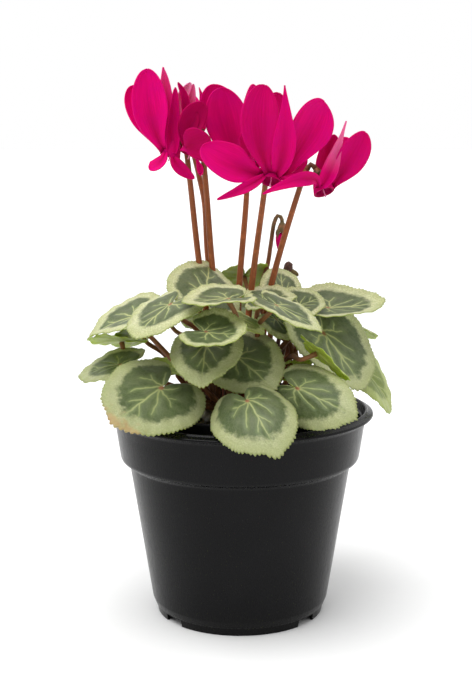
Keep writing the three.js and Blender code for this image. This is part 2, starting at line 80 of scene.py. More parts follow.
def make_light():
    world = bpy.data.worlds.new("studio")
    bpy.context.scene.world = world
    world.use_nodes = True
    tree = world.node_tree
    background = tree.nodes["Background"]
    # The backdrop is white to the eye; the dome that lights the plant is dimmer towards the front.
    direction = tree.nodes.new("ShaderNodeTexCoord")
    split = tree.nodes.new("ShaderNodeSeparateXYZ")
    tree.links.new(direction.outputs["Generated"], split.inputs[0])
    ramp = tree.nodes.new("ShaderNodeMapRange")
    ramp.interpolation_type = "SMOOTHSTEP"
    limits = {"From Min": -0.95, "From Max": 0.05, "To Min": DOME_FRONT, "To Max": DOME_BACK}
    for name, value in limits.items():
        ramp.inputs[name].default_value = value
    tree.links.new(split.outputs["Y"], ramp.inputs["Value"])
    path = tree.nodes.new("ShaderNodeLightPath")
    brightest = tree.nodes.new("ShaderNodeMath")
    brightest.operation = "MAXIMUM"
    tree.links.new(ramp.outputs["Result"], brightest.inputs[0])
    tree.links.new(path.outputs["Is Camera Ray"], brightest.inputs[1])
    tree.links.new(brightest.outputs[0], background.inputs["Strength"])
    background.inputs["Color"].default_value = (1, 1, 1, 1)

    sun = bpy.data.lights.new("key", "SUN")
    sun.energy = SUN_STRENGTH
    sun.angle = radians(SUN_WIDTH)
    lamp = bpy.data.objects.new("key", sun)
    lamp.rotation_euler = Vector(SUN_FROM).to_track_quat("Z", "Y").to_euler()
    bpy.context.collection.objects.link(lamp)
    bpy.context.scene.view_settings.view_transform = "Standard"


def make_floor():
    mesh = bpy.data.meshes.new("floor")
    corners = [(x * FLOOR_REACH, y * FLOOR_REACH, 0) for x, y in ((-1, -1), (1, -1), (1, 1), (-1, 1))]
    mesh.from_pydata(corners, [], [(0, 1, 2, 3)])
    floor = bpy.data.objects.new("floor", mesh)
    bpy.context.collection.objects.link(floor)
    g = Graph("floor_paper")
    fine = g.noise(g.place(), 0.3, 3)
    g.feed("Base Color", g.mix(fine, (0.93, 0.93, 0.93), (0.95, 0.95, 0.95)))
    g.set(Roughness=0.9)
    mesh.materials.append(g.material)


# ---- shader graphs ----
class Graph:
    """A material whose nodes are made by short calls."""

    def __init__(self, name):
        self.material = bpy.data.materials.new(name)
        self.material.use_nodes = True
        self.tree = self.material.node_tree
        self.shader = self.tree.nodes["Principled BSDF"]

    def node(self, kind, **settings):
        made = self.tree.nodes.new(kind)
        for key, value in settings.items():
            setattr(made, key, value)
        return made

    def put(self, socket, value):
        if isinstance(value, bpy.types.NodeSocket):
            self.tree.links.new(value, socket)
        elif socket.type == "RGBA":
            socket.default_value = (*value[:3], 1)
        else:
            socket.default_value = value

    def feed(self, name, value):
        self.put(self.shader.inputs[name], value)

    def set(self, **values):
        """Constants on the shader's own sockets; an underscore stands for a space."""
        for name, value in values.items():
            self.shader.inputs[name.replace("_", " ")].default_value = value

    def math(self, operation, *values, clamp=False):
        made = self.node("ShaderNodeMath", operation=operation, use_clamp=clamp)
        for socket, value in zip(made.inputs, values):
            self.put(socket, value)
        return made.outputs[0]

    def times(self, first, second):
        return self.math("MULTIPLY", first, second)

    def plus(self, first, second):
        return self.math("ADD", first, second)

    def vector(self, operation, *values, **extra):
        made = self.node("ShaderNodeVectorMath", operation=operation)
        for socket, value in zip(made.inputs, values):
            self.put(socket, value)
        for name, value in extra.items():
            self.put(made.inputs[name], value)
        single = operation in ("DOT_PRODUCT", "LENGTH", "DISTANCE")
        return made.outputs["Value" if single else "Vector"]

    def attribute(self, name):
        return self.node("ShaderNodeAttribute", attribute_name=name).outputs["Vector"]

    def split(self, value):
        made = self.node("ShaderNodeSeparateXYZ")
        self.put(made.inputs[0], value)
        return made.outputs

    def join(self, x, y, z):
        made = self.node("ShaderNodeCombineXYZ")
        for socket, value in zip(made.inputs, (x, y, z)):
            self.put(socket, value)
        return made.outputs[0]

    def place(self):
        """The point in millimetres."""
        made = self.node("ShaderNodeTexCoord").outputs["Object"]
        return self.vector("SCALE", made, Scale=1 / MM)

    def noise(self, at, scale, detail=2.0, roughness=0.5, colour=False):
        made = self.node("ShaderNodeTexNoise")
        self.put(made.inputs["Vector"], at)
        self.put(made.inputs["Scale"], scale)
        self.put(made.inputs["Detail"], detail)
        self.put(made.inputs["Roughness"], roughness)
        return made.outputs["Color" if colour else "Fac"]

    def cells(self, at, scale):
        """Distance to the nearest cell wall."""
        made = self.node("ShaderNodeTexVoronoi", feature="DISTANCE_TO_EDGE")
        self.put(made.inputs["Vector"], at)
        self.put(made.inputs["Scale"], scale)
        return made.outputs["Distance"]

    def range(self, value, low, high, start=0.0, end=1.0):
        """A smooth step from start at low to end at high."""
        made = self.node("ShaderNodeMapRange", interpolation_type="SMOOTHSTEP")
        for socket, item in zip(made.inputs, (value, low, high, start, end)):
            self.put(socket, item)
        return made.outputs["Result"]

    def mix(self, factor, first, second, blend="MIX"):
        made = self.node("ShaderNodeMix", data_type="RGBA", blend_type=blend)
        self.put(made.inputs["Factor"], factor)
        self.put(made.inputs[6], first)
        self.put(made.inputs[7], second)
        return made.outputs[2]

    def bump(self, height, distance, strength=1.0):
        made = self.node("ShaderNodeBump")
        self.put(made.inputs["Height"], height)
        made.inputs["Distance"].default_value = distance * MM
        made.inputs["Strength"].default_value = strength
        self.feed("Normal", made.outputs[0])


# Half of the main veins, in leaf lengths from the petiole point: start, end, half widths.
VEINS = [
    ((0.0, 0.0), (0.45, 0.0), 0.020, 0.015),
    ((0.45, 0.0), (0.9, 0.0), 0.015, 0.002),
    ((0.0, 0.0), (0.20, 0.17), 0.010, 0.007),
    ((0.20, 0.17), (0.46, 0.34), 0.007, 0.0),
    ((0.0, 0.0), (0.03, 0.24), 0.010, 0.006),
    ((0.03, 0.24), (0.12, 0.46), 0.006, 0.0),
    ((0.0, 0.0), (-0.15, 0.15), 0.008, 0.004),
    ((-0.15, 0.15), (-0.28, 0.22), 0.004, 0.0),
    ((0.42, 0.0), (0.64, 0.18), 0.007, 0.0),
    ((0.04, 0.27), (-0.05, 0.38), 0.003, 0.0),
]


# Leaf colours, each as the darker and the lighter shade that it varies between.
SILVER = (0.43, 0.45, 0.22), (0.72, 0.73, 0.43)
EDGE_GREEN = (0.37, 0.40, 0.16), (0.60, 0.62, 0.30)
HEART_GREEN = (0.066, 0.094, 0.030), (0.118, 0.146, 0.064)
# The underside's own yellow-green, painted brighter than it is for light shining through the leaf.
UNDERSIDE_AND_SHINE_THROUGH = (0.30, 0.42, 0.025), (0.43, 0.53, 0.05)
DECAY = (0.50, 0.44, 0.20), (0.38, 0.15, 0.05)


def vein_distance(g, x, y, seed, spot):
    """How far a point of the leaf lies outside the nearest vein, in leaf lengths."""
    wobble = g.vector("SUBTRACT", g.noise(spot, 5.0, 2, colour=True), (0.5, 0.5, 0.5))
    bent = g.vector("ADD", g.join(x, y, 0.0), g.vector("SCALE", wobble, Scale=0.11))
    bx, by, _ = g.split(bent)
    lean = g.math("SINE", g.times(seed, 9.0))
    bx = g.plus(bx, g.times(g.times(g.math("SIGN", by), lean), 0.05))
    point = g.join(bx, g.math("ABSOLUTE", by), 0.0)
    nearest = None
    for start, end, wide, narrow in VEINS:
        a = Vector((*start, 0))
        step = Vector((*end, 0)) - a
        from_a = g.vector("SUBTRACT", point, a)
        run = g.vector("DOT_PRODUCT", from_a, step)
        share = g.math("DIVIDE", run, step.length_squared, clamp=True)
        gap = g.vector("SUBTRACT", from_a, g.vector("SCALE", step, Scale=share))
        width = g.math("MULTIPLY_ADD", share, narrow - wide, wide)
        away = g.math("SUBTRACT", g.vector("LENGTH", gap), width)
        nearest = away if nearest is None else g.math("MINIMUM", nearest, away)
    return nearest


def leaf_margin(g, ring, grain, broad, low):
    """The silvery margin, greener at the rim, with painted shade darkening it on the lower leaves."""
    silver, green = g.mix(grain, *SILVER), g.mix(grain, *EDGE_GREEN)
    margin = g.mix(g.range(ring, 0.8, 1.0), silver, green)
    margin = g.mix(g.range(broad, 0.35, 0.7, 0.0, 0.3), margin, (0.38, 0.41, 0.19))
    # Painted shade: the margins of the lower leaves turn a darker grey-green.
    margin = g.mix(low, margin, (0.24, 0.27, 0.12))
    return g.mix(g.range(ring, 0.965, 1.0, 0.0, 0.55), margin, (0.22, 0.25, 0.07))


def leaf_heart(g, border, grain, broad, net, halo):
    """The dark green heart, a little paler beside the veins."""
    dark = g.mix(g.range(broad, 0.35, 0.65), *HEART_GREEN)
    dark = g.mix(g.range(border, 0.45, 0.78, 0.0, 0.55), dark, (0.055, 0.090, 0.014))
    dark = g.mix(g.times(net, 0.3), dark, (0.17, 0.205, 0.095))
    dark = g.mix(g.times(grain, 0.25), dark, (0.16, 0.185, 0.090))
    return g.mix(g.times(halo, 0.5), dark, (0.20, 0.26, 0.10))


def leaf_material(name, worn=0.0):
    """A leaf blade. worn is how far its tip has gone brown and orange, from 0 to 1."""
    g = Graph(name)
    place = g.place()
    x, y, ring = g.split(g.attribute("leaf"))
    side, shift, seed = g.split(g.attribute("leaf_tone"))
    offset = g.join(g.times(seed, 37.0), 0.0, 0.0)
    spot = g.vector("ADD", g.join(x, y, 0.0), offset)
    nearest = vein_distance(g, x, y, seed, spot)
    vein = g.range(nearest, 0.024, -0.010)
    halo = g.range(nearest, 0.10, 0.0)
    net = g.range(g.cells(spot, 13.0), 0.09, 0.0)

    # The dark heart has a ragged border and runs out into the cleft.
    ragged = g.math("MULTIPLY_ADD", g.noise(place, 0.22, 3), 0.24, -0.12)
    finer = g.math("MULTIPLY_ADD", g.noise(place, 0.8, 2), 0.10, -0.05)
    border = g.plus(g.plus(ring, g.plus(ragged, finer)), shift)
    near_midrib = g.range(g.math("ABSOLUTE", y), 0.55, 0.15)
    cleft = g.times(g.range(x, -0.05, -0.35), near_midrib)
    border = g.math("MULTIPLY_ADD", cleft, -0.22, border)
    heart = g.range(border, 0.81, 0.68)

    fine = g.noise(place, 1.9, 3, 0.65)
    broad = g.noise(place, 0.16, 2)
    grain = g.range(fine, 0.36, 0.66)
    # Painted shade: below 136 mm a leaf's margin grows darker and its veins fainter, for the shade of the
    # leaves above.
    low = g.range(g.split(place)[2], 136.0, 112.0, 0.0, 0.5)
    margin = leaf_margin(g, ring, grain, broad, low)
    dark = leaf_heart(g, border, grain, broad, net, halo)
    fade = g.range(ring, 0.9, 0.55, 0.25, 0.95)
    fade = g.times(fade, g.range(low, 0.0, 0.5, 1.0, 0.65))
    top = g.mix(heart, margin, dark)
    top = g.mix(g.times(vein, fade), top, (0.50, 0.53, 0.22))

    # The underside, with painted light shining through the leaf; pale leaves show it on their upper face
    # too.
    under = g.mix(grain, *UNDERSIDE_AND_SHINE_THROUGH)
    under = g.mix(g.times(heart, 0.35), under, (0.20, 0.25, 0.05))
    under = g.mix(g.times(vein, 0.6), under, (0.50, 0.50, 0.20))
    colour = g.mix(side, under, top)
    centre = g.range(g.vector("LENGTH", g.join(x, y, 0.0)), 0.075, 0.02)
    colour = g.mix(g.times(centre, 0.8), colour, (0.36, 0.10, 0.06))
    patchy = g.math("MULTIPLY_ADD", g.noise(place, 0.3, 3), 0.7, x)
    decay = g.mix(g.noise(place, 0.22, 2), *DECAY)
    colour = g.mix(g.range(patchy, 1.12, 1.42, 0.0, worn), colour, decay)
    g.feed("Base Color", colour)

    height = g.math("MULTIPLY_ADD", side, -1.6, 0.8)
    height = g.times(g.range(nearest, 0.09, 0.0), height)
    height = g.plus(height, g.times(net, -0.25))
    height = g.plus(height, g.times(fine, 0.5))
    g.bump(height, 0.25, 0.7)
    g.feed("Roughness", g.range(fine, 0.2, 0.8, 0.38, 0.58))
    g.set(Specular_IOR_Level=0.4, Subsurface_Weight=0.12)
    g.set(Subsurface_Radius=(0.6, 1.0, 0.2), Subsurface_Scale=0.001)
    return g.material


# Petal colours between the streaks and on them.
MAGENTA = (0.60, 0.0, 0.125), (0.80, 0.0, 0.20)


def petal_material():
    g = Graph("petal_velvet")
    across, along, pale = g.split(g.attribute("petal"))
    throat, seed, painted_shade = g.split(g.attribute("petal_tone"))
    stretched = g.join(g.times(across, 9.0), g.times(along, 1.3), g.times(seed, 11.0))
    streaks = g.noise(stretched, 1.6, 4, 0.6)
    cloud = g.noise(g.place(), 0.11, 2)
    colour = g.mix(g.range(streaks, 0.2, 0.8), *MAGENTA)
    colour = g.mix(g.range(cloud, 0.4, 0.65, 0.0, 0.5), colour, (0.62, 0.0, 0.18))
    # Painted shade: darker down the middle of each petal, most towards its root, where it cups; and a
    # painted highlight: a lighter rim along its edges.
    from_middle = g.math("ABSOLUTE", across)
    middle = g.times(g.range(from_middle, 0.75, 0.0, 0.0, 0.6), g.range(along, 0.95, 0.2))
    colour = g.mix(middle, colour, (0.32, 0.0, 0.025))
    edge = g.range(from_middle, 0.9, 1.0, 0.0, 0.3)
    colour = g.mix(edge, colour, (0.80, 0.002, 0.20))
    # Painted shade on the petals that lie in shadow.
    colour = g.mix(g.times(painted_shade, 0.7), colour, (0.30, 0.0, 0.035))
    tip = g.times(pale, g.range(along, 0.4, 0.95))
    colour = g.mix(tip, colour, (0.80, 0.26, 0.46))
    colour = g.mix(g.times(throat, 0.75), colour, (0.16, 0.0, 0.02))
    g.feed("Base Color", colour)
    crinkle = g.times(g.noise(g.place(), 3.0, 2), 0.3)
    g.bump(g.plus(streaks, crinkle), 0.14, 0.4)
    g.set(Roughness=0.6, Specular_IOR_Level=0.05, Subsurface_Weight=0.2)
    g.set(Sheen_Weight=0.02, Sheen_Roughness=0.4, Sheen_Tint=(1.0, 0.1, 0.6, 1))
    g.set(Subsurface_Radius=(1.0, 0.05, 0.2), Subsurface_Scale=0.0012)
    return g.material


# Stalk colours at the foot, halfway and at the top.
LEAF_STALK_TONES = (0.10, 0.038, 0.014), (0.20, 0.072, 0.028), (0.27, 0.13, 0.05)
FLOWER_STALK_TONES = (0.21, 0.042, 0.012), (0.31, 0.090, 0.026), (0.07, 0.034, 0.012)
BUD_STALK_TONES = (0.24, 0.055, 0.03), (0.27, 0.10, 0.05), (0.15, 0.12, 0.05)


def stalk_material(name, foot, middle, top):
    """A stalk's skin. Its attribute runs from 0 to 1 along it, and is -1 on the tuber."""
    g = Graph(name)
    along, around, seed = g.split(g.attribute("stalk"))
    darker = tuple(0.45 * c for c in middle)
    lighter = tuple(min(1, 1.7 * c) for c in middle)
    streaked = g.join(g.times(around, 5.0), g.times(along, 3.0), seed)
    streaks = g.noise(streaked, 2.2, 3, 0.6)
    blush = g.noise(g.place(), 0.35, 2)
    colour = g.mix(g.range(along, 0.0, 0.5), foot, middle)
    colour = g.mix(g.range(along, 0.72, 1.0), colour, top)
    colour = g.mix(g.range(streaks, 0.35, 0.75, 0.0, 0.6), colour, darker)
    colour = g.mix(g.range(blush, 0.5, 0.75, 0.0, 0.5), colour, lighter)
    crown = g.mix(g.range(blush, 0.35, 0.65), (0.022, 0.014, 0.007), (0.10, 0.075, 0.03))
    colour = g.mix(g.range(along, -0.2, -0.8), colour, crown)
    g.feed("Base Color", colour)
    pores = g.times(g.noise(g.place(), 4.0), 0.3)
    g.bump(g.plus(streaks, pores), 0.12, 0.6)
    g.feed("Roughness", g.range(streaks, 0.3, 0.8, 0.4, 0.6))
    g.set(Specular_IOR_Level=0.25)
    return g.material


def soil_material():
    g = Graph("peat_and_bark")
    kind, tint, _ = g.split(g.attribute("soil"))
    place = g.place()
    lumps = g.noise(place, 0.9, 5, 0.7)
    fine = g.noise(place, 4.5, 3, 0.7)
    peat = g.mix(g.range(lumps, 0.3, 0.7), (0.010, 0.006, 0.003), (0.055, 0.030, 0.012))
    peat = g.mix(g.range(fine, 0.55, 0.75, 0.0, 0.5), peat, (0.10, 0.065, 0.025))
    bark = g.mix(g.range(lumps, 0.3, 0.7), (0.05, 0.022, 0.008), (0.20, 0.10, 0.035))
    moss = g.mix(g.range(fine, 0.3, 0.7), (0.14, 0.11, 0.02), (0.38, 0.30, 0.08))
    colour = g.mix(g.range(kind, 0.3, 0.6), peat, bark)
    colour = g.mix(g.range(kind, 1.3, 1.6), colour, moss)
    colour = g.mix(g.times(tint, 0.5), colour, (0.02, 0.012, 0.006))
    g.feed("Base Color", colour)
    g.bump(g.plus(lumps, g.times(fine, 0.5)), 0.8, 0.8)
    g.feed("Roughness", g.range(fine, 0.3, 0.7, 0.75, 0.95))
    return g.material


def plastic_material(name, colour, roughness):
    """Black moulded plastic: faint clouding, fine upright scuffs and a little dust near the foot."""
    g = Graph(name)
    place = g.place()
    x, y, z = g.split(place)
    tall = g.join(x, y, g.times(z, 0.12))
    scuffs = g.noise(tall, 0.8, 4, 0.65)
    cloud = g.noise(place, 0.05, 3)
    fine = g.noise(place, 5.0, 2, 0.6)
    lighter = tuple(1.3 * c + 0.0004 for c in colour)
    shade = g.mix(g.range(cloud, 0.35, 0.7), colour, lighter)
    dust = g.times(g.range(z, 14.0, 0.0), g.range(fine, 0.5, 0.8))
    shade = g.mix(g.times(dust, 0.25), shade, (0.10, 0.09, 0.07))
    g.feed("Base Color", shade)
    g.feed("Roughness", g.range(scuffs, 0.3, 0.8, roughness - 0.05, roughness + 0.1))
    g.bump(g.plus(fine, g.times(scuffs, 0.5)), 0.004, 0.2)
    g.set(Specular_IOR_Level=0.14, Sheen_Weight=0.004, Sheen_Roughness=0.25)
    return g.material


def withered_material():
    g = Graph("withered_brown")
    place = g.place()
    wrinkles = g.noise(place, 1.6, 4, 0.7)
    colour = g.mix(g.range(wrinkles, 0.3, 0.7), (0.035, 0.014, 0.010), (0.15, 0.065, 0.045))
    along = g.split(g.attribute("stalk"))[0]
    colour = g.mix(g.range(along, 1.6, 2.0, 0.0, 0.7), colour, (0.17, 0.13, 0.03))
    g.feed("Base Color", colour)
    g.feed("Roughness", g.range(wrinkles, 0.3, 0.7, 0.6, 0.9))
    g.bump(wrinkles, 0.5, 0.9)
    return g.material


# ---- meshes ----
class Shape:
    """Points, faces and point attributes of one piece, gathered part by part, in millimetres."""

    def __init__(self, *attributes):
        self.points, self.faces = [], []
        self.values = {name: [] for name in attributes}

    def add(self, points, faces, **values):
        start = len(self.points)
        self.points.extend(tuple(p) for p in points)
        self.faces.extend(tuple(i + start for i in face) for face in faces)
        for name, stored in self.values.items():
            given = values[name]
            single = not hasattr(given[0], "__len__")
            stored.extend([tuple(given)] * len(points) if single else [tuple(v) for v in given])

    def piece(self, name, material, slot, *nodes):
        mesh = bpy.data.meshes.new(name)
        mesh.from_pydata([[c * MM for c in p] for p in self.points], [], self.faces)
        for key, stored in self.values.items():
            layer = mesh.attributes.new(key, "FLOAT_VECTOR", "POINT")
            layer.data.foreach_set("vector", np.array(stored, np.float32).ravel())
        mesh.materials.append(material)
        mesh.shade_smooth()
        made = bpy.data.objects.new(name, mesh)
        bpy.context.collection.objects.link(made)
        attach(made, "root")
        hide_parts(*nodes)
        return made


def grid_faces(rows, columns, closed=False):
    """Faces of a grid stored row by row; closed joins the last column to the first."""
    faces = []
    for r in range(rows - 1):
        for c in range(columns if closed else columns - 1):
            d = (c + 1) % columns
            a, b = r * columns, (r + 1) * columns
            faces.append((a + c, a + d, b + d, b + c))
    return faces


def flipped(faces):
    return [tuple(reversed(face)) for face in faces]


def spoke(k, count):
    """Cosine and sine of step k of count round a circle."""
    angle = 2 * pi * k / count
    return cos(angle), sin(angle)


def solid_sheet(points, rows, columns, thickness):
    """Both faces and the rim of a sheet given row by row. thickness is one number for each point."""
    sheet = np.array(points, float).reshape(rows, columns, 3)
    normal = np.cross(np.gradient(sheet, axis=0), np.gradient(sheet, axis=1))
    normal /= np.maximum(np.linalg.norm(normal, axis=2, keepdims=True), 1e-9)
    offset = normal * np.array(thickness, float).reshape(rows, columns, 1) / 2
    upper, lower = (sheet + offset).reshape(-1, 3), (sheet - offset).reshape(-1, 3)
    count = rows * columns
    front = grid_faces(rows, columns)
    faces = flipped(front) + [tuple(i + count for i in f) for f in front]
    border = list(range(columns))
    border += [r * columns + columns - 1 for r in range(1, rows)]
    border += [count - 1 - c for c in range(1, columns)]
    border += [r * columns for r in range(rows - 2, 0, -1)]
    for a, b in zip(border, border[1:] + border[:1]):
        faces.append((a, b, b + count, a + count))
    return np.concatenate([upper, lower]), faces


def smooth_line(points, steps):
    """steps + 1 evenly spaced points on a centripetal Catmull-Rom curve through the points."""
    p = [np.array(q, float) for q in points]
    p = [2 * p[0] - p[1], *p, 2 * p[-1] - p[-2]]
    fine = []
    for i in range(1, len(p) - 2):
        a, b, c, d = p[i - 1 : i + 3]
        gaps = [max(np.linalg.norm(v - u), 1e-6) ** 0.5 for u, v in ((a, b), (b, c), (c, d))]
        m1 = (b - a) / gaps[0] - (c - a) / (gaps[0] + gaps[1]) + (c - b) / gaps[1]
        m2 = (c - b) / gaps[1] - (d - b) / (gaps[1] + gaps[2]) + (d - c) / gaps[2]
        m1, m2 = m1 * gaps[1], m2 * gaps[1]
        for t in np.linspace(0, 1, 40, endpoint=False):
            fine.append(
                (2 * t**3 - 3 * t**2 + 1) * b + (t**3 - 2 * t**2 + t) * m1
                + (3 * t**2 - 2 * t**3) * c + (t**3 - t**2) * m2
            )
    fine.append(p[-2])
    fine = np.array(fine)
    run = np.concatenate([[0], np.cumsum(np.linalg.norm(np.diff(fine, axis=0), axis=1))])
    even = np.linspace(0, run[-1], steps + 1)
    return np.stack([np.interp(even, run, fine[:, k]) for k in range(3)], axis=1)


def tube(shape, line, radii, sides=12, seed=0.0, key="stalk", span=(0, 1), **values):
    """A closed round tube. The attribute named key, if any, gets (share along the span, around, seed)."""
    line = np.asarray(line, float)
    count = len(line)
    tangents = np.gradient(line, axis=0)
    tangents /= np.linalg.norm(tangents, axis=1, keepdims=True)
    turn = Vector((1, 0, 0)) if abs(tangents[0][0]) < 0.8 else Vector((0, 1, 0))
    points, marks = [], []
    for i in range(count):
        t = Vector(tangents[i])
        turn = (turn - t * turn.dot(t)).normalized()
        other = t.cross(turn)
        share = span[0] + (span[1] - span[0]) * i / (count - 1)
        for k in range(sides):
            c, s = spoke(k, sides)
            points.append(Vector(line[i]) + (turn * c + other * s) * radii[i])
            marks.append((share, abs(k / sides - 0.5) * 2, seed))
    if key:
        values[key] = marks
    shape.add(points, lathe_faces(count, sides), **values)


def lathe_points(profile, segments, start=(0, 0, 0), direction=UP):
    """Rings of points for a profile of (radius, height), along a direction from start."""
    turn = UP.rotation_difference(Vector(direction))
    points = []
    for r, z in profile:
        for k in range(segments):
            c, s = spoke(k, segments)
            points.append(Vector(start) + turn @ Vector((r * c, r * s, z)))
    return points


def lathe_faces(rings, segments):
    """Faces of closed rings of points, with both ends capped."""
    faces = grid_faces(rings, segments, closed=True)
    faces.append(tuple(reversed(range(segments))))
    faces.append(tuple((rings - 1) * segments + k for k in range(segments)))
    return faces


def ball_points(rings, sectors):
    """Points of a unit ball, ring by ring from its top."""
    points = []
    for r in range(rings):
        tilt = pi * (r + 0.3) / (rings - 0.4)
        for k in range(sectors):
            c, s = spoke(k, sectors)
            points.append(Vector((sin(tilt) * c, sin(tilt) * s, cos(tilt))))
    return points


def rounded(profile, radius=0.35, steps=3):
    """The profile with each inner corner cut round, for light to catch."""
    out = [profile[0]]
    for a, b, c in zip(profile, profile[1:], profile[2:]):
        a, b, c = Vector(a), Vector(b), Vector(c)
        near, far = (a - b), (c - b)
        reach = min(radius, near.length * 0.4, far.length * 0.4)
        first, last = b + near.normalized() * reach, b + far.normalized() * reach
        for k in range(steps + 1):
            t = k / steps
            out.append(tuple(first * (1 - t) ** 2 + b * 2 * t * (1 - t) + last * t**2))
    out.append(profile[-1])
    return out


# ---- pots ----
# Each pot's profile as (radius, height).
POT_PROFILE = [
    (0.5, 3.2), (36.2, 3.2), (36.6, 0), (37.8, 0), (38.15, 3.3), (38.6, 3.8), (38.9, 3.9), (40.1, 6.9),
    (49.5, 66.4), (49.9, 69), (50.9, 70.4), (53.3, 71.4), (53.9, 72.6), (55.8, 85.5), (56.6, 89.4),
    (57.4, 90.6), (59.4, 91.1), (60, 91.7), (59.7, 92.5), (57.6, 93.3), (57.2, 94), (56.5, 94),
    (56.2, 93.2), (55.2, 90.4), (54.3, 89.6), (52.4, 73.2), (49.2, 71.2), (48.3, 69), (38, 6.6), (37, 5),
    (0.5, 5),
]
INNER_PROFILE = [
    (0.5, 5.5), (30.5, 5.5), (31.5, 6.5), (42.9, 88.5), (44.5, 89.4), (45, 94.9), (44.9, 95.6),
    (44.3, 95.6), (44.1, 94.9), (43.7, 90.3), (42, 89), (30.6, 7), (0.5, 7),
]
# The notches in the foot ring: their angles from the front (degrees), how far out they lie, width,
# depth and height.
NOTCH_ANGLES = (51, -51, 129, -129)
NOTCH_OUT, NOTCH_WIDE, NOTCH_DEEP, NOTCH_HIGH = 37.2, 11, 6, 3.1


def build_pot(name, profile, segments, material, node):
    """The profile runs from the middle of the underside round to the middle of the inside."""
    shape = Shape()
    profile = rounded(profile)
    shape.add(lathe_points(profile, segments), lathe_faces(len(profile), segments))
    return shape.piece(name, material, node, node)


def cut_notches(pot):
    """Four low drainage notches in the foot ring."""
    cutter = bmesh.new()
    for degrees in NOTCH_ANGLES:
        angle = radians(degrees)
        made = bmesh.ops.create_cube(cutter, size=1)["verts"]
        out = Vector((sin(angle), -cos(angle), 0))
        side = Vector((cos(angle), sin(angle), 0))
        for v in made:
            at_top = v.co.z > 0
            tall = NOTCH_HIGH if at_top else -3
            centre = out * (NOTCH_OUT + v.co.y * NOTCH_DEEP) + side * v.co.x * (NOTCH_WIDE - 0.6 * at_top)
            v.co = (centre + UP * tall) * MM
    bmesh.ops.recalc_face_normals(cutter, faces=cutter.faces)
    mesh = bpy.data.meshes.new("notches")
    cutter.to_mesh(mesh)
    cutter.free()
    tool = bpy.data.objects.new("notches", mesh)
    bpy.context.collection.objects.link(tool)
    modifier = pot.modifiers.new("notches", "BOOLEAN")
    modifier.operation, modifier.solver, modifier.object = "DIFFERENCE", "EXACT", tool
    bpy.context.view_layer.update()
    evaluated = pot.evaluated_get(bpy.context.evaluated_depsgraph_get())
    cut = bpy.data.meshes.new_from_object(evaluated)
    pot.modifiers.clear()
    pot.data = cut
    bpy.data.objects.remove(tool)
    cut.set_sharp_from_angle(angle=radians(40))


# ---- soil ----
SOIL_Z, SOIL_R = 89.5, 41.6
CRUMBS, BARK_BITS, MOSS_THREADS = 620, 26, 150


def soil_height(x, y):
    lumps = sin(x * 0.42 + 1) * cos(y * 0.37) + 0.6 * sin(x * 0.9 + y * 0.7)
    rough = noise.fractal(Vector((x, y, 3)) * 0.28, 0.7, 2.1, 5)
    return SOIL_Z + 0.7 * lumps + 1.1 * rough


def soil_spot(angle, radius, lift=0.0):
    """A point above the soil at an angle and radius from the pot's middle."""
    x, y = radius * cos(angle), radius * sin(angle)
    return Vector((x, y, soil_height(x, y) + lift))


def blob(rng, size, flat):
    """A small irregular lump: points and faces."""
    made = bmesh.new()
    bmesh.ops.create_icosphere(made, subdivisions=1, radius=1)
    stretch = Vector((rng.uniform(0.7, 1.4), rng.uniform(0.6, 1.1), flat)) * size
    turn = rng.uniform(0, 6.3)
    c, s = cos(turn), sin(turn)
    points = []
    for v in made.verts:
        p = v.co * rng.uniform(0.75, 1.2)
        p = Vector((p.x * stretch.x, p.y * stretch.y, p.z * stretch.z))
        points.append(Vector((p.x * c - p.y * s, p.x * s + p.y * c, p.z)))
    faces = [[v.index for v in f.verts] for f in made.faces]
    made.free()
    return points, faces


def build_soil(material):
    """Peat with crumbs, bits of bark and threads of moss; the attribute's first value tells them apart."""
    rng = random.Random(5)
    shape = Shape("soil")
    rings, sectors = 44, 150
    points = []
    for ring in range(rings):
        radius = SOIL_R * (ring + 0.4) / rings
        points += [soil_spot(2 * pi * k / sectors, radius) for k in range(sectors)]
    for radius, z in ((41.2, 86), (30, 8)):
        for k in range(sectors):
            c, s = spoke(k, sectors)
            points.append((radius * c, radius * s, z))
    shape.add(points, lathe_faces(rings + 2, sectors), soil=(0, 0, 0))

    for _ in range(CRUMBS):
        angle, radius = rng.uniform(0, 2 * pi), 41 * sqrt(rng.uniform(0.1, 1))
        lump, faces = blob(rng, rng.uniform(0.4, 1.5) ** 1.2, rng.uniform(0.4, 0.9))
        base = soil_spot(angle, radius, 0.1)
        kind = 0 if rng.random() < 0.75 else 1
        shape.add([p + base for p in lump], faces, soil=(kind, rng.random(), 0))

    for i in range(BARK_BITS):
        angle, radius = i * 2.4, 26 + 13 * ((i * 0.618) % 1)
        along = Vector((cos(i * 1.7), sin(i * 1.7), 0.25 * sin(i * 5)))
        length, base = rng.uniform(3, 8), soil_spot(angle, radius, 0.5)
        line = smooth_line([base - along * length / 2, base + UP * 0.3, base + along * length / 2], 6)
        radii = [rng.uniform(0.8, 1.3) for _ in line]
        tube(shape, line, radii, 7, key=None, soil=(1, rng.random() * 0.7, 0))

    for i in range(MOSS_THREADS):
        angle = pi * (1.0 + rng.uniform(0.05, 0.75)) if i % 3 else rng.uniform(0, 2 * pi)
        spots = [soil_spot(angle, rng.uniform(24, 40), 0.6)]
        for _ in range(4):
            step = Vector((rng.uniform(-2, 2), rng.uniform(-2, 2), rng.uniform(-0.4, 0.9)))
            spots.append(spots[-1] + step)
        line = smooth_line(spots, 10)
        radii = [rng.uniform(0.12, 0.22)] * len(line)
        tube(shape, line, radii, 5, key=None, soil=(2, rng.random() * 0.5, 0))
    return shape.piece("soil_surface", material, "soil", "soil")


# ---- leaves ----
# point is where the stalk meets the blade, heading is 0 along +X and anticlockwise from above, droop is
# that of the tip, and foot and middle are the stalk's.
Leaf = namedtuple("Leaf", "name point heading droop roll length half_width arch fold foot middle")
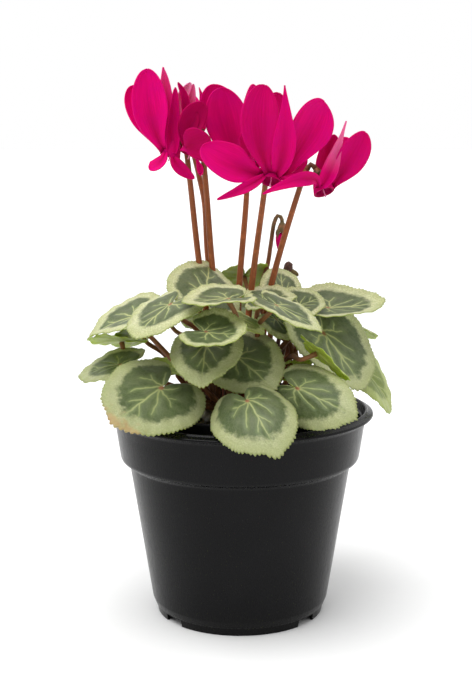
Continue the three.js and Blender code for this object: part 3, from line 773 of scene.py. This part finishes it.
# leaf_01 and on, without the name.
LEAF_ROWS = [
    ([-15.1, -5, 146.5], 86, -30, 25, 23, 17.5, 1.5, -2, [-6, -3], [-7, -8, 123]),
    ([-4.9, -33.9, 147.3], 198, 3, -8, 19, 15, 0, 3, [-5, -7], [-2, -14, 126]),
    ([-29.6, -26.8, 144], 233, 20, 0, 24, 15.5, 3, 1, [-8, -8], [-16, -5, 126]),
    ([-46.8, -10, 136], 169, 14, -13, 21.5, 21.5, 4, 6.5, [-11, -2], [-28, -18, 117]),
    ([-45.5, 15, 125], 118, 32, -6, 18, 13.5, -1, 0, [-14, 5], [-35, 12, 116]),
    ([-52.8, -1, 124], 142, 8, 15, 17.5, 12, 0.5, 1.5, [-5, -10], [-38, -17, 111]),
    ([-52.5, -14, 115.6], 165, 9, -22, 19.5, 13.5, 3, 3, [-7, -2], [-35, -9, 107]),
    ([-33, -40, 110.5], 238, 12, -32, 30.5, 20.5, 3.5, -0.5, [-7, -8], [-27, -26, 104]),
    ([-29, -4, 113], 139, -5, -7, 18, 10, 1, 0, [-15, -2], [-28, -4, 109]),
    ([-14, -30, 127], 265, 21, 3, 25, 15.5, 3.5, 2, [-5, -10], [-23, -20, 117]),
    ([-14, -44, 135], -19, 11, 23, 16.5, 14.5, -4.5, -0.5, [-11, -10], [-15, -15, 127]),
    ([-2, -19.5, 120.5], 310, 20, 26, 25.5, 18, 2.5, 2, [-1, -7], [-1, -7, 108]),
    ([3, -54, 108], 290, 11, 19, 25.5, 17.5, 12.5, 0.5, [0, -7], [2, -28, 103]),
    ([24, -43, 111], 308, 7, 55, 28.5, 13.5, 6.5, -2.5, [4, -6], [13, -22, 104]),
    ([36.9, -5.3, 128.2], 324, 45, 8, 29.5, 23, 1, 3, [11, 3], [19, 2, 113]),
    ([39.3, 2, 138.5], 3, 2, 17, 24, 17, -4, 1.5, [4, -6], [20, -6, 124]),
    ([15.4, -29.4, 143.9], 328, 22, 0, 22, 13, 1, 1.5, [5, -9], [8, -12, 131]),
    ([9.6, -10.2, 143.6], -1, -6, 16, 14.5, 13, 0, 1.5, [9, -5], [9, -7, 120]),
    ([19, 12, 143.5], 89, -36, 16, 18, 10.5, 1, 1, [12, 8], [22, 5, 121]),
    ([2, 32, 149.3], 99, 33, -3, 24, 12, -0.5, -0.5, [1, 7], [14, 16, 124]),
    ([55.5, 4, 109.8], 23, 40, 43, 26, 14, 6.5, 6, [7, 1], [29, 3, 104]),
    ([-1, -19, 137], 314, 18, -8, 14.5, 10, 1, 1, [-1, -11], [-9, -9, 117]),
    ([16, -7, 134.5], 343, 31, 21, 13, 10, 1, 0, [12, 9], [23, 0, 121]),
    ([22, -12, 116], 101, 25, -9, 15, 9.5, 3, -0.5, [10, -5], [14, -8, 106]),
    ([-35, 34, 130], 145, 15, 0, 24, 18, 3, 1, [-11, 3], [-19, 14, 119]),
    ([-10, 33, 133], 105, 25, 0, 25, 18, 3, 1, [-3, 11], [-2, 21, 115]),
    ([16, 52, 129], 75, 25, 0, 25, 19, 3, 1, [15, 3], [26, 21, 114]),
    ([43, 25, 131], 30, 20, 0, 25, 18, 3, 1, [10, 6], [23, 18, 115]),
    ([10, 37, 113], 85, 20, 0, 22, 16, 3, 1, [2, 7], [5, 20, 105]),
    ([26.3, -6.6, 140.8], 30, -14, 30, 12, 10, 0.5, 3, [12, -1], [20, -5, 124]),
    ([32.7, -33.7, 124.5], 321, 28, -43, 18.5, 7.5, 1, 0.5, [11, -8], [21.5, -13, 118]),
]
LEAVES = [Leaf(f"leaf_{k:02d}", *row) for k, row in enumerate(LEAF_ROWS, 1)]
# A blade's grid: rings out from the point, and four columns to a tooth.
LEAF_RINGS = (0, 0.1, 0.22, 0.35, 0.48, 0.6, 0.71, 0.81, 0.9, 0.965, 1)
TOOTH_SHAPE = (0.0, 0.55, 1.0, 0.75)
TOOTH_DEPTH = 0.029
# Half the angle that a blade takes up round its point; the rest is the cleft.
LEAF_SPAN = 173
# A blade's thickness in the middle, and how much less it is at the rim.
LEAF_THICK, LEAF_THINNING = 0.62, 0.28
TUBER_R, TUBER_TOP, TUBER_SQUASH = 21, 97, 0.46
# How much narrower (below 0) or wider the dark heart is than on most leaves.
HEART_SHIFT = {
    "leaf_01": -0.03, "leaf_03": 0.03, "leaf_08": 0.0, "leaf_13": -0.04, "leaf_14": -0.02, "leaf_15": -0.06,
}
WORN_LEAF = "leaf_08"
# Young or shaded leaves whose upper face is yellow-green like the underside, and how much so.
PALE_LEAVES = {
    "leaf_05": 0.9, "leaf_06": 0.85, "leaf_09": 0.8, "leaf_20": 0.85, "leaf_21": 0.4, "leaf_22": 0.35,
    "leaf_24": 0.8, "leaf_31": 0.45,
}


def leaf_edge(angle):
    """How far out the blade's edge is at an angle from its tip, in leaf lengths."""
    turn = abs(angle)
    body = 0.8 + 0.16 * cos(turn) + 0.04 * cos(3 * turn)
    cleft = 1 - exp(-(((pi - turn) / 0.31) ** 1.5))
    return body * cleft + 0.06 * exp(-((turn / 0.16) ** 2))


def leaf_axes(leaf):
    """The directions along the blade to its tip, to its left and up from it."""
    heading, droop, roll = (radians(v) for v in (leaf.heading, leaf.droop, leaf.roll))
    flat = cos(droop)
    along = Vector((cos(heading) * flat, sin(heading) * flat, -sin(droop)))
    level = Vector((-sin(heading), cos(heading), 0))
    rise = along.cross(level)
    left = level * cos(roll) + rise * sin(roll)
    up = rise * cos(roll) - level * sin(roll)
    return along, left, up


def vein_gap(x, y):
    """Distance to the nearest main vein, in leaf lengths."""
    best = 9
    p = Vector((x, abs(y)))
    for start, end, _, _ in VEINS:
        a, b = Vector(start), Vector(end)
        share = max(0, min(1, (p - a).dot(b - a) / (b - a).length_squared))
        best = min(best, (p - a - (b - a) * share).length)
    return best


def build_leaf(leaf, number, material):
    """A toothed blade that arches, folds at the midrib, waves at its edge and puffs up between the veins."""
    along, left, up = leaf_axes(leaf)
    rng = random.Random(100 + number)
    teeth = 70 + number % 7
    sectors = teeth * len(TOOTH_SHAPE)
    sizes = [rng.uniform(0.5, 1.35) for _ in range(teeth + 1)]
    points, thick, marks = [], [], []
    for ring in LEAF_RINGS:
        for sector in range(sectors + 1):
            angle = radians(-LEAF_SPAN + 2 * LEAF_SPAN * sector / sectors)
            tooth = TOOTH_SHAPE[sector % 4] * sizes[sector // 4] - 0.45
            near_rim = max(0, (ring - 0.8) / 0.2) ** 2
            reach = ring * (1 + TOOTH_DEPTH * near_rim * tooth) * leaf_edge(angle)
            x, y = reach * cos(angle), reach * sin(angle) / 0.8
            bend = -leaf.arch * (max(x, 0) ** 2 + 0.7 * y * y)
            bend += leaf.fold * (sqrt(y * y + 0.01) - 0.1)
            wave = 0.5 * ring * ring * sin(5 * angle + number * 1.3)
            puff = 0.35 * min(1, vein_gap(x, y) / 0.12) * (1 - ring**3)
            ripple = 0.22 * ring**4 * sin(17 * angle + number)
            spot = Vector(leaf.point) + along * (x * leaf.length) + left * (y * leaf.half_width)
            points.append(spot + up * (bend + wave + puff + ripple))
            thick.append(LEAF_THICK - LEAF_THINNING * ring)
            marks.append((x, y, ring))
    made, faces = solid_sheet(points, len(LEAF_RINGS), sectors + 1, thick)
    shift = HEART_SHIFT.get(leaf.name, 0.03 * sin(number * 2.3))
    upper = (1 - PALE_LEAVES.get(leaf.name, 0), shift, number * 0.37)
    under = (0, shift, number * 0.37)
    shape = Shape("leaf", "leaf_tone")
    shape.add(made, faces, leaf=marks * 2, leaf_tone=[upper] * len(points) + [under] * len(points))
    return shape.piece(f"{leaf.name}_blade", material, "leaf", leaf.name)


def leaf_stalk_line(leaf):
    along, _, up = leaf_axes(leaf)
    tip = Vector(leaf.point) - up * 0.75
    foot = Vector((*leaf.foot, TUBER_TOP - 4))
    reach = (foot - tip).length
    near = tip - up * 0.12 * reach - along * 0.06 * reach
    return smooth_line([foot, leaf.middle, near, tip], 30)


def build_tuber(material):
    """The rough tuber with every leaf stalk, each a little wider where it meets its blade."""
    shape = Shape("stalk")
    rings, sectors = 24, 64
    points = []
    for p in ball_points(rings, sectors):
        out = Vector((p.x, p.y, p.z * TUBER_SQUASH))
        rough = 1 + 0.05 * noise.fractal(out * 3, 0.8, 2, 4)
        points.append(out * TUBER_R * rough + UP * (TUBER_TOP - TUBER_SQUASH * TUBER_R))
    shape.add(points, flipped(lathe_faces(rings, sectors)), stalk=(-1, 0.5, 0))
    for number, leaf in enumerate(LEAVES):
        line = leaf_stalk_line(leaf)
        share = np.linspace(0, 1, len(line))
        radii = 1.45 - 0.5 * share + 0.3 * np.clip((share - 0.93) / 0.07, 0, 1)
        tube(shape, line, radii, 12, seed=number * 1.7)
    return shape.piece("tuber_crown", material, "leaf_stalk", "tuber_and_leaf_stalks")


# ---- flowers ----
MOUTH_R = 4.7
# turn is about the petal's own length, with 0 facing the front; point runs from 0, blunt, to 1, pointed.
Petal = namedtuple("Petal", "root middle tip half_width turn cup point")
# Each flower: name, mouth, calyx, the stem's points, petals.
FLOWERS = [
    (
        "flower_1", [-30.5, 0, 206], [-28.5, 1, 213],
        [[-10, 10, 93], [-14, 13, 125], [-18.8, 13, 159.8], [-22.1, 6, 194.2], [-24, 3, 211]],
        [
            [[-33, -3, 208], [-38, -6, 221.9], [-39.6, -4, 242.8], 7.6, 0, 1.5, 0],
            [[-35, 3, 208], [-41.4, 4, 221.4], [-47.3, 5, 236], 6, -10, 1.5, 0],
            [[-31, 0, 208], [-32.4, 0, 227.6], [-33.3, 2, 243.8], 3.2, 0, 1, 0.7],
            [[-29, -2, 208], [-29.3, -3, 211.3], [-27.9, -1, 235.1], 3.2, 0, 1.5, 0.3],
            [[-33, -4, 206], [-34.6, -8, 203.4], [-39, -10, 200.4], 4.2, 40, 0.5, 0],
            [[-29, -3, 205], [-27.5, -5, 202.6], [-19.8, -6, 196.2], 2.8, -10, 0.5, 0.2],
            [[-27, 4, 208], [-23.4, 4, 223], [-27.1, 6, 237.4], 2.1, 0, 1, 0.3],
        ],
    ),
    (
        "flower_2", [-24, 15, 211], [-23, 15, 217],
        [
            [-5, 14, 93], [-9.5, 18, 125], [-14.6, 18, 159.3], [-16.1, 17, 184.8], [-18.5, 16, 196.9],
            [-22, 16, 213],
        ],
        [
            [[-25, 12, 212], [-29.3, 10, 221.6], [-21.8, 11, 237.5], 2.9, 0, 1, 0],
            [[-23, 12, 213], [-22.5, 9, 222.1], [-20.6, 11, 236.9], 2.7, 10, 1, 0.5],
            [[-23, 16, 212], [-16.9, 19, 222.7], [-18.3, 20, 235.7], 3.6, 30, 1, 0.8],
            [[-25, 19, 212], [-25, 25, 224], [-25, 30, 234], 7, -10, 1, 0],
            [[-26, 17, 212], [-29, 22, 221], [-30, 26, 232], 6.5, 10, 1, 0],
        ],
    ),
    (
        "flower_3", [-21.5, -8, 207], [-19.5, -7, 212],
        [[-6, 6, 93], [-9.5, 12, 125], [-12.9, 13, 159.8], [-14.8, 4, 189.9], [-16, -3, 206]],
        [
            [[-20, -6, 209], [-21.5, -6, 218.6], [-14.6, -5, 227.5], 5.6, 0, 1, 0],
            [[-24, -11, 207], [-20.4, -14, 210.6], [-12.7, -16, 213.6], 7.2, 0, 1, 0],
            [[-20, -11, 206], [-17, -13, 205.8], [-13, -15, 205.8], 1.6, 0, 0.5, 0],
            [[-20, -4, 206], [-17.4, -3, 200.6], [-17.4, -3, 197.6], 1.6, 20, 0.3, 0],
            [[-23, -5, 208], [-23, -6, 217], [-20, -5, 226], 4.5, 0, 1, 0],
        ],
    ),
    (
        "flower_4", [13, -22, 196], [14, -19, 201],
        [[1.6, -4, 93], [2.6, -1, 120], [5, -1, 147], [10.7, -12, 193], [12, -15, 205]],
        [
            [[12, -26, 198], [7.9, -30, 215.5], [10.3, -26, 235.3], 8, 0, 1.5, 0],
            [[15, -26, 198], [18.1, -31, 210.8], [18.3, -29, 235.1], 5.4, 0, 1, 1],
            [[18, -22, 197], [27.5, -24, 214.1], [35.5, -20, 228.5], 9.2, 10, 1.5, 0],
            [[9, -24, 197], [-1.5, -29, 202.1], [-15.7, -28, 210.5], 8.1, 15, 1.5, 0],
            [[10, -26, 196], [3.5, -30, 194.1], [-9.5, -31, 188.5], 2.6, 10, 0.5, 0.7],
            [[17, -25, 196], [20.5, -26, 196.6], [26, -26, 197.8], 2.2, 0, 0.5, 0],
        ],
    ),
    (
        "flower_5", [36, -12, 191], [34, -9, 197],
        [[7, 2, 93], [9.6, 4, 120], [13.8, 2, 148], [25.6, -5, 191], [28.3, -7, 199]],
        [
            [[35, -15, 192], [38.2, -17, 200.6], [45.1, -13, 220.7], 3.7, 0, 0.8, 1],
            [[39, -12, 192], [45.7, -14, 202.4], [53.7, -11, 215.9], 6.4, 0, 1.5, 0],
            [[34, -9, 193], [36.7, -6, 201.2], [41.3, -3, 214.8], 4.8, 0, 1, 0],
            [[33, -17, 190.5], [27.6, -27, 197], [9.3, -36, 191.2], 3.3, 0, 0.5, 0.7],
            [[38, -8, 192], [44, -4, 204], [48, 0, 213], 6, 0, 1, 0],
        ],
    ),
    (
        "flower_6", [3, 10, 199], [4, 11, 205],
        [[-2.4, 2, 93], [-1.4, 6, 120], [-0.3, 7, 148], [3, 10, 190], [3, 12, 206]],
        [
            [[0, 6, 200], [-4.9, 2, 216], [-8.1, 2, 235], 9.4, 0, 1.5, 0],
            [[-2, 8, 201], [-8.2, 6, 221.8], [-10.9, 6, 236.6], 7.8, 0, 1, 0],
            [[3, 14, 201], [4.9, 16, 218.6], [5.7, 16, 237], 5.6, 20, 1, 0],
            [[5, 11, 201], [12.5, 10, 218.3], [17, 10, 233.1], 6.4, -15, 1, 0],
            [[5, 6, 199], [20.5, -2, 199.3], [27.8, -2, 206.6], 3.4, 0, 1, 0],
            [[1, 16, 199], [-5, 27, 212], [-5, 30, 229], 8, 0, 1, 0],
            [[3, 4, 199], [4, -3, 209], [3, -5, 219], 4.5, 0, 1, 0],
        ],
    ),
]
# Petals with pale backs or tips: flower name and petal number.
PALE = {("flower_2", 0): 1.0, ("flower_2", 1): 0.45, ("flower_5", 0): 0.55, ("flower_1", 2): 0.15}
# Petals that lie in shadow, darkened with painted shade, in the same way.
SHADED_PETALS = {
    ("flower_1", 3): 0.45, ("flower_1", 5): 0.5, ("flower_1", 6): 0.7, ("flower_2", 2): 0.5,
    ("flower_3", 0): 0.9, ("flower_3", 1): 0.8, ("flower_3", 2): 0.9, ("flower_3", 4): 1.0,
    ("flower_4", 0): 0.5, ("flower_4", 1): 0.25, ("flower_4", 2): 0.2, ("flower_4", 3): 0.25,
    ("flower_4", 4): 0.4, ("flower_5", 1): 0.45, ("flower_5", 2): 0.7, ("flower_5", 3): 0.35,
    ("flower_6", 0): 0.15, ("flower_6", 3): 0.5, ("flower_6", 4): 0.9, ("flower_6", 6): 0.4,
}
# A petal's grid, its thickness in the middle of its root and how much less it is at its edges.
PETAL_ROWS, PETAL_COLUMNS = 34, 19
PETAL_THICK, PETAL_THINNING = 0.62, 0.22
# Petals roll and twist a little more than their solids, which shows from the side.
PETAL_CUP = 1.9
PETAL_TWIST = 0.55
CUP_SIDES = 40
# Radii of a sepal, from its root to its tip.
SEPAL_RADII = (0.9, 0.95, 0.9, 0.75, 0.55, 0.32, 0.08)
BUD_SEPAL_RADII = (0.7, 0.75, 0.65, 0.5, 0.3, 0.08)


def petal_width(t, point):
    """A blunt petal is widest near its round tip, a pointed one below the middle."""
    rise = sin(pi / 2 * min(1, t / 0.68))
    fall = sqrt(max(0.002, 1 - max(0, (t - 0.68) / 0.32) ** 2))
    blunt = 0.25 * (1 - t) ** 2 + 0.98 * rise**1.7 * fall
    swell = sin(3.016 * t**0.75 + 0.1) ** 1.3
    pointed = 0.3 * (1 - t) + 0.93 * swell * min(1, 0.25 + 1.2 * t) + 0.02
    return blunt + (pointed - blunt) * point


def build_petal(shape, petal, mouth, direction, name, number):
    out = Vector(petal.root) - mouth
    out -= direction * out.dot(direction)
    v0 = mouth - direction * 1.1 + out.normalized() * (MOUTH_R - 0.7)
    v2 = Vector(petal.tip)
    v1 = Vector(petal.middle) * 2 - (v0 + v2) * 0.5
    pale, painted_shade = PALE.get((name, number), 0.0), SHADED_PETALS.get((name, number), 0.0)
    seed = sum(map(ord, name)) * 0.11 + number * 1.9
    points, thick, marks = [], [], []
    for r in range(PETAL_ROWS):
        t = 1 - (1 - r / (PETAL_ROWS - 1)) ** 1.5
        centre = v0 * (1 - t) ** 2 + v1 * 2 * t * (1 - t) + v2 * t * t
        tangent = ((v1 - v0) * (1 - t) + (v2 - v1) * t).normalized()
        across = Vector((0, -1, 0)).cross(tangent).normalized()
        face = tangent.cross(across).normalized()
        angle = radians(petal.turn) + PETAL_TWIST * (t - 0.3)
        lateral = across * cos(angle) + face * sin(angle)
        outward = face * cos(angle) - across * sin(angle)
        breadth = petal_width(t, petal.point)
        width = petal.half_width * breadth
        for c in range(PETAL_COLUMNS):
            side = 2 * c / (PETAL_COLUMNS - 1) - 1
            lift = PETAL_CUP * petal.cup * breadth * (side * side - 0.5)
            lift -= 0.35 * exp(-((side / 0.16) ** 2)) * (1 - t)
            lift += 0.3 * abs(side) ** 3 * sin(9 * t + seed + 2 * side) * min(1, 2 * t)
            edge = 1 + 0.012 * sin(17 * t + seed * 3 + side) * t
            points.append(centre + lateral * (side * width * edge) + outward * lift)
            thick.append(PETAL_THICK - PETAL_THINNING * max(abs(side), t))
            marks.append((side, t, pale))
    made, faces = solid_sheet(points, PETAL_ROWS, PETAL_COLUMNS, thick)
    tones = [(max(0, 1 - m[1] * 9), seed, painted_shade) for m in marks] * 2
    shape.add(made, faces, petal=marks * 2, petal_tone=tones)


def build_corolla(name, mouth, calyx, petals, material):
    """The cup that the petals stand on, dark inside its mouth, the petals and the style."""
    shape = Shape("petal", "petal_tone")
    start, mouth = Vector(calyx), Vector(mouth)
    direction = mouth - start
    length = direction.length + 0.6
    direction.normalize()
    profile = rounded([
        (0.05, 0.3), (2.4, 0.3), (3.8, length * 0.45), (MOUTH_R, length), (MOUTH_R - 1, length),
        (MOUTH_R - 1.6, length - 2.2), (0.05, length - 3),
    ], 0.6)
    points = lathe_points(profile, CUP_SIDES, start, direction)
    tones = []
    for r, z in profile:
        inside = z > length - 2.9 and r < MOUTH_R - 0.2
        tones += [(1.0 if inside else 0.25, 0.4, 0)] * CUP_SIDES
    faces = lathe_faces(len(profile), CUP_SIDES)
    shape.add(points, faces, petal=(0.5, 0.1, 0), petal_tone=tones)
    for number, petal in enumerate(petals):
        build_petal(shape, Petal(*petal), mouth, direction, name, number)
    line = [start + direction * (length - 4 + 2 * k) for k in range(4)]
    tube(shape, line, [0.28] * 4, 8, key=None, petal=(0.5, 0.9, 0.9), petal_tone=(0, 0, 0))
    return shape.piece(f"{name}_corolla", material, "petal", f"{name}_petals")


def add_sepals(shape, start, direction, spots, radii, share):
    """Five sepals round a calyx. Each spot is how far out it lies and how far along."""
    side = direction.orthogonal().normalized()
    other = direction.cross(side)
    for k in range(5):
        c, s = spoke(k, 5)
        out = side * c + other * s
        line = smooth_line([start + out * r + direction * z for r, z in spots], len(radii) - 1)
        tube(shape, line, radii, 8, span=(share, share))


def build_flower_stalk(name, mouth, calyx, stem, material):
    """A stalk that bends over at its top into the calyx."""
    shape = Shape("stalk")
    start = Vector(calyx)
    direction = (Vector(mouth) - start).normalized()
    top = start - direction * 3.2
    over = (start - direction * 6.2).lerp(Vector(stem[-1]), 0.35)
    over.z = max(over.z, top.z + 2.6)
    line = smooth_line([*stem, over, top], 60)
    radii = np.linspace(1.65, 1.15, len(line))
    tube(shape, line, radii, 14, seed=len(name) + calyx[0])
    profile = rounded([(0.05, -4.2), (1.1, -4.2), (2.5, -1.2), (2.2, 0.2), (0.05, 0.2)], 0.5)
    points = lathe_points(profile, 24, start, direction)
    shape.add(points, lathe_faces(len(profile), 24), stalk=(1, 0.5, 2))
    add_sepals(shape, start, direction, ((1.9, -1.6), (2.75, 0.4), (3.1, 2.6)), SEPAL_RADII, 1)
    return shape.piece(f"{name}_stem", material, "flower_stalk", f"{name}_stalk")


# ---- bud and withered bud ----
BUD_STALK = [
    (8, 13, 93), (7.5, 24, 125), (10, 29.5, 145), (12.8, 28, 155), (14.2, 24, 165), (15.7, 20, 175.5),
    (17.3, 20, 178.5), (18.9, 20, 177.5), (19.2, 20, 174.9),
]
BUD_START = Vector((19.2, 20, 174.3))
BUD_DIRECTION = Vector((-0.1, 0, -1)).normalized()
# The furled petals: distance along the bud and radius.
BUD_SECTIONS = [
    (3.9, 1.5), (5, 1.95), (6.2, 2.1), (7.8, 1.9), (9.4, 1.55), (10.8, 1.1), (12, 0.6), (12.8, 0.12),
]
WITHERED_STALK = [(13, 14, 93), (18, 24, 120), (21, 29, 140), (22, 30, 152)]
# The withered bud's two lumps: centre, half sizes, lean (degrees) and the value that colours it.
WITHERED_LUMPS = [
    ((22.5, 30, 153.4), (2.2, 2.1, 3.1), 12, 1),
    ((24.6, 30, 151.4), (3.1, 1.4, 1.45), 28, 2),
]


def build_bud(stem_material, bud_material):
    stem = Shape("stalk")
    line = smooth_line(BUD_STALK, 60)
    tube(stem, line, np.linspace(1.4, 0.9, len(line)), 14, seed=3)
    cup = rounded([(0.05, -1.5), (1.2, -1), (2, 1.5), (1.9, 3.6), (0.05, 3.6)], 0.4)
    cup_points = lathe_points(cup, 24, BUD_START, BUD_DIRECTION)
    stem.add(cup_points, lathe_faces(len(cup), 24), stalk=(2, 0.5, 1))
    add_sepals(stem, BUD_START, BUD_DIRECTION, ((1.6, 2.4), (2.15, 4.2), (2.0, 6.4)), BUD_SEPAL_RADII, 2)
    stem.piece("bud_stem", stem_material, "flower_stalk", "bud_stalk")

    bud = Shape("petal", "petal_tone")
    side = BUD_DIRECTION.orthogonal().normalized()
    other = BUD_DIRECTION.cross(side)
    points, marks = [], []
    for z, radius in BUD_SECTIONS:
        for k in range(CUP_SIDES):
            c, s = spoke(k, CUP_SIDES)
            fold = sin(5 * (2 * pi * k / CUP_SIDES) + z * 0.55)
            centre = BUD_START + BUD_DIRECTION * z
            points.append(centre + (side * c + other * s) * radius * (1 + 0.12 * fold))
            marks.append((fold * 0.8, 0.5, 0))
    bud.add(points, lathe_faces(len(BUD_SECTIONS), CUP_SIDES), petal=marks, petal_tone=(0.15, 7, 0))
    bud.piece("bud_furled", bud_material, "petal", "bud_petals")


def build_withered(material):
    shape = Shape("stalk")
    line = smooth_line(WITHERED_STALK, 30)
    tube(shape, line, np.linspace(1.2, 0.8, len(line)), 10, seed=9)
    rings, sectors = 18, 28
    for centre, size, lean, mark in WITHERED_LUMPS:
        c, s = cos(radians(lean)), sin(radians(lean))
        points = []
        for p in ball_points(rings, sectors):
            p *= 1 + 0.14 * noise.fractal(p * 2.2 + Vector(centre), 0.8, 2, 4)
            x, y, z = p.x * size[0], p.y * size[1], p.z * size[2]
            points.append(Vector(centre) + Vector((x * c + z * s, y, z * c - x * s)))
        shape.add(points, flipped(lathe_faces(rings, sectors)), stalk=(mark, 0.5, 0))
    shape.piece("withered_flower", material, "withered", "withered_bud")


# ---- put together ----
make_camera()
make_light()
make_floor()

black_plastic = plastic_material("black_plastic", (0.002, 0.002, 0.0024), 0.27)
dark_plastic = plastic_material("dark_plastic", (0.003, 0.003, 0.0032), 0.4)
outer = build_pot("outer_pot_shell", POT_PROFILE, 180, black_plastic, "outer_pot")
cut_notches(outer)
build_pot("inner_pot_shell", INNER_PROFILE, 120, dark_plastic, "inner_pot")
build_soil(soil_material())

leaf_skin = leaf_material("leaf_blade")
worn_skin = leaf_material("worn_leaf_blade", 0.85)
for number, leaf in enumerate(LEAVES):
    build_leaf(leaf, number, worn_skin if leaf.name == WORN_LEAF else leaf_skin)
build_tuber(stalk_material("leaf_stalk_skin", *LEAF_STALK_TONES))

petal_skin = petal_material()
stem_skin = stalk_material("flower_stalk_skin", *FLOWER_STALK_TONES)
for name, mouth, calyx, stem, petals in FLOWERS:
    build_corolla(name, mouth, calyx, petals, petal_skin)
    build_flower_stalk(name, mouth, calyx, stem, stem_skin)
build_bud(stalk_material("bud_stalk_skin", *BUD_STALK_TONES), petal_skin)
build_withered(withered_material())
